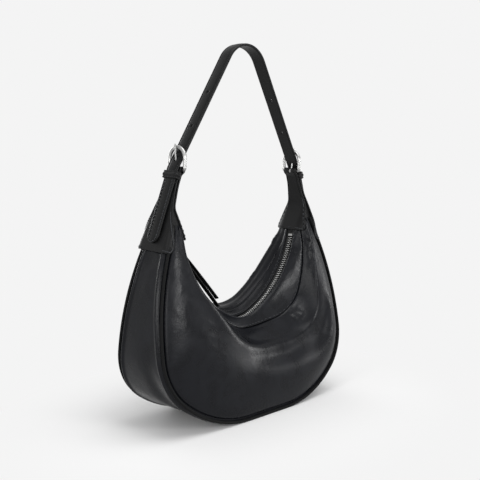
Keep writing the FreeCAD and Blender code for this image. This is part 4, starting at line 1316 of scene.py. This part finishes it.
class StrapForm:
    """Paths of the right tab and the strap about the buckle bar."""

    def __init__(self):
        self.sizes = s = bpy.context.scene.bag_strap
        bag = form()
        self.leather = bag.body.leather
        self.gap = bag.body.seam_gap
        self.lean_height = bag.horn_z + s.lean_rise
        self.bar_x = bag.side_top_x - s.bar_inset
        self.bar_z = bag.horn_z + s.bar_rise
        self.bar = np.array([self.bar_x, 0.0, self.bar_z])
        self.fold_radius = s.bar_radius + self.gap + self.leather / 2
        self.lay_tab(bag)
        self.lay_strap()
        self.lean_buckle()

    def lay_tab(self, bag):
        """Path of the tab: up the outer foot, round the bar and down to the inner foot at the zip's end."""
        s, fold, leather = self.sizes, self.fold_radius, self.leather
        foot_x, foot_z = bag.side_top_x + s.tab_gap + leather / 2, bag.side_top_z
        reach_x, reach_z = foot_x - self.bar_x, self.bar_z - foot_z
        reach = math.hypot(reach_x, reach_z)
        self.tilt = math.atan2(reach_x, reach_z) - math.asin(fold / reach)
        self.heading = math.pi / 2 + self.tilt
        tab_run = math.sqrt(reach ** 2 - fold ** 2)
        converge = 2 * fold - leather - s.keeper_back - 2 * self.gap
        slant = (converge - (fold + s.join_radius) * (1 - math.cos(s.fold_turn))) / math.sin(s.fold_turn)
        inner_turn = self.tilt + s.foot_lean
        head = [(tab_run, 0), (fold, math.pi + s.fold_turn), (slant, 0), (s.join_radius, -s.fold_turn)]
        probe = walk((foot_x, foot_z), self.heading, head + [(s.split_radius, -inner_turn)], TAB_SPACING)[-1]
        inner_x = bag.zip_end[0] - (bag.zip.facing_lift + s.tab_gap + leather / 2)
        inner_z = bag.zip_end[2] + s.inner_lift
        down, neck_way = probe[2], self.heading + math.pi
        gap_x, gap_z = inner_x - probe[0], inner_z - probe[1]
        cross = math.cos(neck_way) * math.sin(down) - math.sin(neck_way) * math.cos(down)
        neck = (gap_x * math.sin(down) - gap_z * math.cos(down)) / cross
        run = ((gap_x - neck * math.cos(neck_way)) * math.cos(down)
               + (gap_z - neck * math.sin(neck_way)) * math.sin(down))
        self.tab_path = walk((foot_x, foot_z), self.heading,
                             head + [(neck, 0), (s.split_radius, -inner_turn), (run, 0)], TAB_SPACING)
        walked = distance_along(self.tab_path[:, :2])
        self.outer = walked < tab_run + math.pi / 2 * fold
        keep = self.outer | (self.tab_path[:, 1] > inner_z + s.inner_trim)
        self.tab_path, self.outer = self.tab_path[keep], self.outer[keep]
        inner_low = self.tab_path[-1, 1]
        self.tab_half = np.where(self.outer,
                                 self.foot_width(foot_z, s.outer_foot, s.outer_bow, s.outer_corner),
                                 self.foot_width(inner_low, s.inner_foot, s.inner_bow, s.inner_corner))

    def lay_strap(self):
        """Path of the strap: up the right tail, round the bar, over the top and down the left tail."""
        s, leg = self.sizes, self.sizes.leg_angle
        radius = self.fold_radius + self.leather / 2 + s.keeper_gap + s.strap_thickness / 2
        self.strap_radius = radius
        bend = math.pi - leg - self.heading
        tail_x = self.bar_x + radius * math.cos(self.tilt) + s.strap_tail * math.sin(self.tilt)
        tail_z = self.bar_z + radius * math.sin(self.tilt) - s.strap_tail * math.cos(self.tilt)
        leave_x = self.bar_x + radius * math.sin(leg)
        leg_length = (leave_x - s.top_radius * math.sin(leg)) / math.cos(leg)
        self.strap_path = walk((tail_x, tail_z), self.heading,
                               [(s.strap_tail, 0), (radius, bend), (leg_length, 0), (s.top_radius, 2 * leg),
                                (leg_length, 0), (radius, bend), (s.strap_tail, 0)], STRAP_SPACING)
        self.strap_path = fine_ends(self.strap_path, s.tip_radius)

    def lean_buckle(self):
        """Lean of the buckle's frame and prong on the strap, and the way from bar to hole."""
        s, upright = self.sizes, math.pi / 2 - self.sizes.leg_angle
        arch_off = s.frame_radius + s.arch_gap + s.strap_thickness / 2
        self.frame_lean = upright - math.asin((self.strap_radius + arch_off) / s.frame_height)
        prong_off = s.frame_radius + s.prong_radius + self.gap
        self.prong_lean = self.frame_lean - math.asin(prong_off / s.frame_height)
        self.hole_rise = self.strap_radius / math.sin(upright - self.prong_lean)

    def foot_width(self, low, foot, bow, corner):
        """Half width of the tab along its path: rounded corners, a foot with hollow sides and a neck."""
        s, z = self.sizes, self.tab_path[:, 1]
        top = self.bar_z - s.flare_drop
        half = s.tab_width / 2 + (foot - s.tab_width) / 2 * np.clip((top - z) / (top - low), 0, 1) ** bow
        short = np.clip(corner - (z - low), 0, corner)
        return half - (corner - np.sqrt(np.maximum(corner ** 2 - short ** 2, 0)))

    def on_tab(self, k, a, t):
        """Points of the tab at row k, a across it and t out of it, with the feet bent round the horn."""
        s = self.sizes
        path, across, up = (rows[k] for rows in ribbon_axes(self.tab_path))
        start, radius = s.inner_wrap_start, s.inner_wrap_radius
        if self.outer[k]:
            start, radius = form().depth(self.tab_path[k, 1]) - s.outer_wrap_inset, s.outer_wrap_radius
        past = np.maximum(np.abs(a) - start, 0) / radius
        over = np.minimum(past, s.wrap_limit)
        flat = (past - over) * radius
        side = np.minimum(np.abs(a), start) + (radius + t) * np.sin(over) + flat * np.cos(over)
        rise = t * np.cos(over) - radius * (1 - np.cos(over)) - flat * np.sin(over)
        return path + up * rise[:, None] + across * (np.sign(a) * side)[:, None]

    def leaned(self, points):
        """Points turned about the height where the strap leans to the front."""
        points = np.asarray(points, float)
        sine, cosine = math.sin(self.sizes.lean), math.cos(self.sizes.lean)
        y, z = points[..., 1], points[..., 2] - self.lean_height
        return np.stack([points[..., 0], y * cosine - z * sine, y * sine + z * cosine + self.lean_height],
                        axis=-1)

    def lean_mesh(self, obj, mirror=False):
        """Leans a mesh, mirrored first for the left side."""
        points = np.zeros(len(obj.data.vertices) * 3)
        obj.data.vertices.foreach_get("co", points)
        points = points.reshape(-1, 3)
        if mirror:
            points *= MIRROR
            obj.data.flip_normals()
        obj.data.vertices.foreach_set("co", self.leaned(points).ravel())
        obj.data.update()


@functools.cache
def strap_form():
    return StrapForm()


def direction(turn):
    """Unit vector in XZ, turned from +X towards +Z."""
    return np.array([math.cos(turn), 0.0, math.sin(turn)])


def ribbon_axes(rows):
    """Points, across and up vectors of a path in XZ."""
    path = np.stack([rows[:, 0], np.zeros(len(rows)), rows[:, 1]], axis=1)
    across = np.tile(Y_AXIS, (len(rows), 1))
    up = np.stack([np.sin(rows[:, 2]), np.zeros(len(rows)), -np.cos(rows[:, 2])], axis=1)
    return path, across, up


def tab_bend():
    """Two bodies and two heights that are passed to dress with the tabs; nothing bends the tabs between
    them.
    """
    plan = strap_form()
    s = plan.sizes
    return "bag", "strap", (0, 0, plan.lean_height - s.bend_start), (0, 0, plan.bar_z - s.bend_end)


def leather_tab(side):
    plan = strap_form()
    s = plan.sizes
    path, across, up = ribbon_axes(plan.tab_path)
    obj = strip(side + "_tab_leather", path, across, up, plan.tab_half, plan.leather, s.tab_press,
                s.stitch_inset, fill=21, place=plan.on_tab)
    slot_half = s.prong_radius + s.prong_slot
    reach = 2 * plan.fold_radius
    grid = np.array([[plan.bar + np.array([-reach, y, z]) for y in (-slot_half, slot_half)]
                     for z in (-plan.fold_radius, reach)])
    bored(obj, [shell("cutter", grid, grid + 2 * reach * X_AXIS)])
    plan.lean_mesh(obj, side == "left")
    dress(obj, finish("strap_leather"), slot="strap_leather", nodes=[side + "_tab"], bend=tab_bend())


def tab_core(side):
    """End of the horn, sewn in between the two layers of a tab."""
    plan = strap_form()
    s = plan.sizes
    x, z = plan.tab_path[:, 0], plan.tab_path[:, 1]
    clear = np.array([-plan.leather / 2 - plan.gap])
    outside, inside = [], []
    for k in np.flatnonzero(~plan.outer & (z > form().horn_z - s.core_drop))[::-2]:
        facing = min(np.flatnonzero(plan.outer), key=lambda row: abs(z[row] - z[k]))
        if x[facing] - x[k] < plan.leather + s.core_least:
            break
        half = min(plan.tab_half[k], plan.tab_half[facing]) - s.stitch_inset / 2
        across = np.linspace(-half, half, CORE_POINTS)
        outside.append(plan.on_tab(facing, across, clear))
        inside.append(plan.on_tab(k, across, clear))
    obj = shell(side + "_tab_core", np.array(outside), np.array(inside))
    plan.lean_mesh(obj, side == "left")
    dress(obj, finish("strap_leather"), slot="strap_leather", bend=tab_bend())


def strap_half_widths(plan):
    """Half width of the strap along its path, with rounded tips, and the way walked."""
    s = plan.sizes
    walked = distance_along(plan.strap_path[:, :2])
    short = np.clip(s.tip_radius - np.minimum(walked, walked[-1] - walked), 0, s.tip_radius)
    half = s.strap_width / 2 - s.tip_radius + np.sqrt(np.maximum(s.tip_radius ** 2 - short ** 2, 0))
    return half, walked


def fine_ends(rows, reach):
    """The same path with close points near both ends, where the tips are rounded."""
    walked = distance_along(rows[:, :2])
    near = reach * (1 - np.cos(np.linspace(0, math.pi / 2, TIP_POINTS)))
    inner = walked[(walked > reach) & (walked < walked[-1] - reach)]
    at = np.concatenate([near, inner, walked[-1] - near[::-1]])
    return np.stack([np.interp(at, walked, rows[:, k]) for k in range(3)], axis=1)


def leather_strap():
    plan = strap_form()
    s = plan.sizes
    path, across, up = ribbon_axes(plan.strap_path)
    obj = strip("strap_leather", path, across, up, strap_half_widths(plan)[0], s.strap_thickness,
                s.strap_press, s.stitch_inset, s.strap_crown, fill=7)
    leg_way = direction(math.pi - s.leg_angle)
    leg_out = direction(math.pi / 2 - s.leg_angle)
    prong_way = direction(math.pi / 2 + plan.prong_lean)
    cutters = []
    for mirror in (np.ones(3), MIRROR):
        cutters.append(rod(plan.bar * mirror, (plan.bar + prong_way * 2 * plan.hole_rise) * mirror,
                           s.prong_radius + s.prong_play))
        for k in (1, 2):
            hole = plan.bar + prong_way * plan.hole_rise + leg_way * s.hole_pitch * k
            cutters.append(rod((hole - leg_out * s.strap_thickness) * mirror,
                               (hole + leg_out * s.strap_thickness) * mirror, s.hole_radius))
    bored(obj, cutters)
    plan.lean_mesh(obj)
    dress(obj, finish("strap_leather"), "strap", "strap_leather", ["strap"])


def keeper_loop(side):
    plan = strap_form()
    s = plan.sizes
    low = plan.fold_radius - plan.leather / 2 - plan.gap - s.keeper_back / 2
    high = plan.strap_radius + s.strap_thickness / 2 + s.keeper_gap + s.keeper_wall / 2
    wide = s.tab_width / 2 + s.keeper_gap + s.keeper_wall / 2
    corner = KEEPER_CORNER * s.keeper_wall
    ring = []
    for x, y, turn in ((high, wide, 0), (low, wide, 1), (low, -wide, 2), (high, -wide, 3)):
        for t in np.linspace(0, 1, 7):
            way = (turn + t) * math.pi / 2
            centre_x = x - corner if x == high else x + corner
            centre_y = y - corner if y > 0 else y + corner
            ring.append((centre_x + corner * math.cos(way), centre_y + corner * math.sin(way)))
    ring = even(np.array(ring + ring[:1]), KEEPER_POINTS + 1)[:-1]
    ahead, rise = direction(plan.tilt), direction(plan.tilt + math.pi / 2)
    middle = plan.bar - rise * (s.keeper_drop + s.keeper_height / 2)
    path = middle + ring[:, :1] * ahead + ring[:, 1:] * Y_AXIS
    along = unit(np.roll(path, -1, axis=0) - np.roll(path, 1, axis=0))
    across = np.tile(rise, (len(path), 1))
    up = np.cross(along, across)
    half = s.keeper_wall / 2
    thin = np.where(np.abs(ring[:, 0] - low) < s.keeper_gap / 2, s.keeper_back / s.keeper_wall, 1.0)

    def place(k, a, t):
        puff = 1 + KEEPER_PUFF * np.maximum(t - half, 0) / half
        return path[k] + across[k] * a[:, None] + up[k] * (t * thin[k] * puff)[:, None]

    obj = strip(side + "_keeper_loop", path, across, up, s.keeper_height / 2, s.keeper_wall, s.keeper_press,
                s.keeper_inset, s.keeper_crown, fill=5, closed=True, place=place)
    plan.lean_mesh(obj, side == "left")
    dress(obj, finish("strap_leather"), "strap", "strap_leather", [side + "_keeper"])


def buckle_wire(side):
    plan = strap_form()
    s = plan.sizes
    half, corner = s.frame_width / 2, BUCKLE_CORNER * s.frame_radius
    shank = s.frame_height - half - corner
    rows = walk((0.0, 0.0), 0.0, [(half - corner, 0), (corner, math.pi / 2), (shank, 0), (half, math.pi),
                                  (shank, 0), (corner, math.pi / 2), (half - corner, 0)], WIRE_SPACING)[:-1]
    rise = direction(plan.frame_lean + math.pi / 2)
    path = plan.bar + rows[:, :1] * Y_AXIS + rows[:, 1:2] * rise
    radius = s.bar_radius + (s.frame_radius - s.bar_radius) * smooth(0, corner, rows[:, 1])
    obj = wire_loop(side + "_buckle_wire", path, direction(plan.frame_lean), radius)
    plan.lean_mesh(obj, side == "left")
    dress(obj, finish("buckle_metal"), "strap", "buckle_metal", [side + "_buckle_frame"])


# Pieces: stitching

FACING_STITCH_LIFT = 0.0002
STRAP_STITCH_LIFT = 0.0001
TIP_CLEAR = 0.001
KEEPER_CLEAR = 0.002
PROBE = 0.001
FOOT_POINTS = 25
FOOT_SHARE = 0.95

# how high a stitch stands in its middle and how far it dips at its ends, in thicknesses of the thread
STITCH_RISE, STITCH_DIP = 0.30, 0.8


def stitch_piece(long, thick):
    """One stitch: a thread that dips at both ends."""
    path = np.array([(x * long / 2, 0.0, thick * (STITCH_RISE - STITCH_DIP * x ** 4))
                     for x in np.linspace(-1, 1, 7)])
    return tube("stitch", path, thick / 2, sides=6)


def stitch_places(line, upright, pitch, lift):
    """Even places along a line that lies on a surface."""
    both = np.concatenate([line, upright], axis=1)
    count = max(3, int(distance_along(line)[-1] / pitch))
    rows = even(both, 2 * count + 1)
    along = unit(np.gradient(rows[:, :3], axis=0))
    up = unit(rows[:, 3:])
    return [(rows[k, :3] + up[k] * lift, along[k], up[k]) for k in range(1, 2 * count, 2)]


def sewn(name, places, **rest):
    """Row of stitches; rest says what it rides on."""
    s = bpy.context.scene.bag_strap
    stitch = stitch_piece(s.stitch_share * s.stitch_pitch, s.stitch_thick)
    dress(set_out(name, places, stitch, s.stitch_wander, finish("thread")), finish("thread"), **rest)


def line_on(grid, normals, distance, from_end):
    """Line across the rows of a grid, at a distance from their start or end."""
    far = row_distance(grid)
    line, up = [], []
    for row, normal, run in zip(grid, normals, far):
        at = run[-1] - distance if from_end else distance
        line.append([np.interp(at, run, row[:, k]) for k in range(3)])
        up.append([np.interp(at, run, normal[:, k]) for k in range(3)])
    return np.array(line), np.array(up)


def facing_stitches():
    bag, s = form(), bpy.context.scene.bag_strap
    places = []
    for back in (False, True):
        grid = bag.facing(back)
        normals = normals_of(grid, Z_AXIS)
        rows = [(bag.zip.facing_stitch_inset, False)]
        if not back:
            rows.insert(0, (s.stitch_inset, True))
        shown = slice(TAIL_STEPS - 1, 1 - TAIL_STEPS)
        for distance, from_end in rows:
            line, up = line_on(grid, normals, distance, from_end)
            places += stitch_places(line[shown], up[shown], s.stitch_pitch, FACING_STITCH_LIFT)
    sewn("facing_stitches", places, body="bag", slot="leather")


def edge_line(path, across, up, half, inset, lift):
    """Stitch line down one edge of a strip, over its tip or foot, and up the other."""
    keep = half > inset + TIP_CLEAR
    path, across, up, half = path[keep], across[keep], up[keep], half[keep]
    left = path + across * (half - inset)[:, None] + up * lift
    right = path - across * (half - inset)[:, None] + up * lift
    return np.concatenate([left[::-1], right]), np.concatenate([up[::-1], up])


def foot_line(plan, rows):
    """Stitch line down one edge of a tab's foot, along the bottom and up the other, and its normals."""
    inset, lift = plan.sizes.stitch_inset, plan.leather / 2
    low = plan.tab_path[rows[0], 1]
    rows = [k for k in rows if plan.tab_path[k, 1] > low + inset]
    spots = [(k, plan.tab_half[k] - inset) for k in reversed(rows)]
    edge = plan.tab_half[rows[0]] - inset
    spots += [(rows[0], edge * t) for t in np.linspace(FOOT_SHARE, -FOOT_SHARE, FOOT_POINTS)]
    spots += [(k, inset - plan.tab_half[k]) for k in rows]
    line = np.array([plan.on_tab(k, np.array([a]), np.array([lift]))[0] for k, a in spots])
    out = np.array([plan.on_tab(k, np.array([a]), np.array([2 * lift]))[0] for k, a in spots])
    return line, unit(out - line)


def leaned_places(plan, places, flip=1.0):
    """Stitch places after the strap's lean, mirrored where flip says so."""
    turned = []
    for point, along, upright in places:
        ends = plan.leaned(np.array([point, point + along * PROBE, point + upright * PROBE]) * flip)
        turned.append((ends[0], unit(ends[1] - ends[0]), unit(ends[2] - ends[0])))
    return turned


def tab_stitches(side):
    plan = strap_form()
    s = plan.sizes
    below = plan.tab_path[:, 1] < plan.bar_z - s.keeper_drop - s.keeper_height - KEEPER_CLEAR
    outer = np.flatnonzero(below & plan.outer)
    inner = np.flatnonzero(below & ~plan.outer)[::-1]
    places = []
    for rows in (outer, inner):
        line, normal = foot_line(plan, rows)
        places += stitch_places(line, normal, s.stitch_pitch, 0.0)
    places = leaned_places(plan, places, MIRROR if side == "left" else 1.0)
    sewn(side + "_tab_stitches", places, slot="strap_leather", bend=tab_bend())


def strap_stitches():
    plan = strap_form()
    s = plan.sizes
    path, across, up = ribbon_axes(plan.strap_path)
    half, walked = strap_half_widths(plan)
    below = s.strap_tail - s.keeper_drop
    places = []
    for tail in (walked < below, walked[-1] - walked < below):
        order = slice(None) if tail[0] else slice(None, None, -1)
        line, normal = edge_line(path[tail][order], across[tail], up[tail][order], half[tail][order],
                                 s.stitch_inset, s.strap_thickness / 2 + STRAP_STITCH_LIFT)
        places += stitch_places(line, normal, s.stitch_pitch, 0.0)
    sewn("strap_stitches", leaned_places(plan, places), body="strap", slot="strap_leather")


# Stage

SEEN_RAYS = ("Is Camera Ray", "Is Glossy Ray", "Is Transmission Ray")
FLOOR_HALF = 6.0
SKY_STRENGTH = 0.52

# name, place, aim, width, height and power
LIGHTS = (
    ("top_light", (0.05, -0.40, 1.35), (0, 0, 0.1), 0.90, 0.90, 10.0),
    ("right_light", (1.11, -0.62, 0.23), (0.08, -0.02, 0.09), 0.32, 0.26, 2.7),
    ("fill_light", (-0.645, -0.95, 0.38), (0.10, -0.04, 0.11), 0.40, 0.40, 2.5),
    ("front_light", (0.15, -1.25, 0.48), (-0.11, 0, 0.15), 0.24, 0.38, 6.5),
    ("left_light", (-1.25, -0.30, 0.40), (-0.10, 0, 0.12), 0.30, 0.60, 5.4),
    ("back_light", (0.12, 1.30, 0.50), (0, 0, 0.10), 0.70, 0.60, 7.0),
)


def floor_finish(tint):
    """Pale floor that keeps the shadow and fades into the backdrop for camera, mirror and clear rays."""
    s = Shader("floor")
    near = s.node("ShaderNodeTexGradient", {"gradient_type": "SPHERICAL"},
                  {"Vector": s.place((2.4, 3.2, 1.0))}, "Fac")
    flecks = s.noise(s.place(), 400.0, detail=2.0)
    s.set(Base_Color=s.mix(flecks, brighter(tint, 0.79), brighter(tint, 0.805)), Roughness=0.9,
          Specular_IOR_Level=0.0)
    seen = sum((s.node("ShaderNodeLightPath", output=kind) for kind in SEEN_RAYS), 0.0)
    glow = s.node("ShaderNodeEmission", {}, {"Color": tuple(tint) + (1.0,), "Strength": 1.0}, "Emission")
    surface = Value(s, s.principled.outputs["BSDF"])
    fade = (1 - near.between(0.25, 0.75)) * seen.between(0.0, 1.0)
    faded = s.node("ShaderNodeMixShader", {}, {0: fade, 1: surface, 2: glow}, "Shader")
    s.plug(s.data.nodes["Material Output"].inputs["Surface"], faded)
    return s.material


def backdrop_world(tint):
    """Pale backdrop for camera, mirror and clear rays, soft grey light for the rest."""
    world = bpy.data.worlds.new("backdrop")
    world.use_nodes = True
    world.node_tree.nodes.clear()
    tree = Tree(world.node_tree)
    seen = tree.node("ShaderNodeBackground", {}, {"Color": tuple(tint) + (1.0,)})
    surface = tree.node("ShaderNodeBackground", {},
                        {"Color": (1.0, 1.0, 1.0, 1.0), "Strength": SKY_STRENGTH})
    for kind in SEEN_RAYS:
        ray = tree.node("ShaderNodeLightPath", output=kind)
        surface = tree.node("ShaderNodeMixShader", {}, {0: ray, 1: surface, 2: seen})
    tree.plug(world.node_tree.nodes.new("ShaderNodeOutputWorld").inputs["Surface"], surface)
    bpy.context.scene.world = world


def softbox(name, place, aim, wide, tall, power):
    """Rectangular studio light."""
    lamp = bpy.data.lights.new(name, "AREA")
    lamp.shape = "RECTANGLE"
    lamp.size = wide
    lamp.size_y = tall
    lamp.energy = power
    obj = add_object(name, lamp)
    obj.location = place
    obj.rotation_euler = (Vector(aim) - Vector(place)).to_track_quat("-Z", "Y").to_euler()


def place_camera(sizes):
    camera = bpy.data.cameras.new("camera")
    camera.sensor_width = 36.0
    camera.lens = sizes.lens
    camera.shift_x = sizes.shift_x
    camera.shift_y = sizes.shift_y
    camera.clip_start = 0.01
    obj = add_object("camera", camera)
    aim = Vector((0, 0, sizes.aim_height))
    away = Vector((math.sin(sizes.azimuth) * math.cos(sizes.elevation),
                   -math.cos(sizes.azimuth) * math.cos(sizes.elevation), math.sin(sizes.elevation)))
    turn = (-away).to_track_quat("-Z", "Y").to_matrix() @ Matrix.Rotation(sizes.roll, 3, "Z")
    obj.matrix_world = Matrix.Translation(aim + away * sizes.distance) @ turn.to_4x4()
    bpy.context.scene.camera = obj


def build_stage():
    tint = bpy.context.scene.bag_finishes.floor
    corners = [(x * FLOOR_HALF, y * FLOOR_HALF, 0) for x, y in ((-1, -1), (1, -1), (1, 1), (-1, 1))]
    floor = make_mesh("floor", corners, [(0, 1, 2, 3)])
    floor.data.materials.append(floor_finish(tint))
    backdrop_world(tint)
    for light in LIGHTS:
        softbox(*light)
    place_camera(bpy.context.scene.bag_stage)
    bpy.context.scene.view_settings.view_transform = "Standard"


# Operators, panel and registration

class BAG_OT_leather_body(Operator):
    """Panels, gusset and piping of the leather body"""
    bl_idname = "bag.leather_body"
    bl_label = "Leather body"

    def execute(self, context):
        for back in (False, True):
            leather_panel(back)
            piping_cord(back)
            piping_web(back)
        leather_gusset()
        return {"FINISHED"}


class BAG_OT_inside(Operator):
    """Lining and stiffening board"""
    bl_idname = "bag.inside"
    bl_label = "Inside"

    def execute(self, context):
        for back in (False, True):
            panel_lining(back)
        gusset_lining()
        repaint(["base_board"], finish("board"))
        return {"FINISHED"}


class BAG_OT_zip_top(Operator):
    """Facings, tapes, teeth, slider and pull of the zip"""
    bl_idname = "bag.zip_top"
    bl_label = "Zip"

    def execute(self, context):
        for back in (False, True):
            leather_facing(back)
            zip_tape(back)
            teeth_row(back)
        zip_pull_strip()
        repaint(["zip_slider", "zip_pull_link", "zip_top_stops", "zip_end_stop"], finish("zip_metal"))
        return {"FINISHED"}


class BAG_OT_strap(Operator):
    """Tabs, strap, keepers and buckles"""
    bl_idname = "bag.strap"
    bl_label = "Strap"

    def execute(self, context):
        leather_strap()
        for side in ("left", "right"):
            leather_tab(side)
            tab_core(side)
            keeper_loop(side)
            buckle_wire(side)
            repaint([side + "_buckle_prong"], finish("buckle_metal"))
        return {"FINISHED"}


class BAG_OT_stitching(Operator):
    """Stitch lines of facings, tabs and strap"""
    bl_idname = "bag.stitching"
    bl_label = "Stitching"

    def execute(self, context):
        facing_stitches()
        for side in ("left", "right"):
            tab_stitches(side)
        strap_stitches()
        return {"FINISHED"}


class BAG_OT_stage(Operator):
    """Floor, backdrop, lights and camera"""
    bl_idname = "bag.stage"
    bl_label = "Stage"

    def execute(self, context):
        build_stage()
        return {"FINISHED"}


OPERATORS = (BAG_OT_leather_body, BAG_OT_inside, BAG_OT_zip_top, BAG_OT_strap, BAG_OT_stitching,
             BAG_OT_stage)
GROUPS = (("bag_body", BodySizes), ("bag_zip", ZipSizes), ("bag_strap", StrapSizes),
          ("bag_finishes", Finishes), ("bag_stage", StageSizes))


class BAG_PT_sidebar(Panel):
    """Operators and sizes of the bag"""
    bl_idname = "BAG_PT_sidebar"
    bl_label = "Half moon bag"
    bl_space_type = "VIEW_3D"
    bl_region_type = "UI"
    bl_category = "Bag"

    def draw(self, context):
        for operator in OPERATORS:
            self.layout.operator(operator.bl_idname)
        for name, group in GROUPS:
            box = self.layout.box()
            for field in group.__annotations__:
                box.prop(getattr(context.scene, name), field)


def register():
    for name, group in GROUPS:
        bpy.utils.register_class(group)
        setattr(bpy.types.Scene, name, PointerProperty(type=group))
    for operator in OPERATORS:
        bpy.utils.register_class(operator)
    bpy.utils.register_class(BAG_PT_sidebar)


def unregister():
    bpy.utils.unregister_class(BAG_PT_sidebar)
    for operator in reversed(OPERATORS):
        bpy.utils.unregister_class(operator)
    for name, group in reversed(GROUPS):
        delattr(bpy.types.Scene, name)
        bpy.utils.unregister_class(group)


def main():
    register()
    bpy.ops.bag.leather_body()
    bpy.ops.bag.inside()
    bpy.ops.bag.zip_top()
    bpy.ops.bag.strap()
    bpy.ops.bag.stitching()
    bpy.ops.bag.stage()


if __name__ == "__main__":
    main()
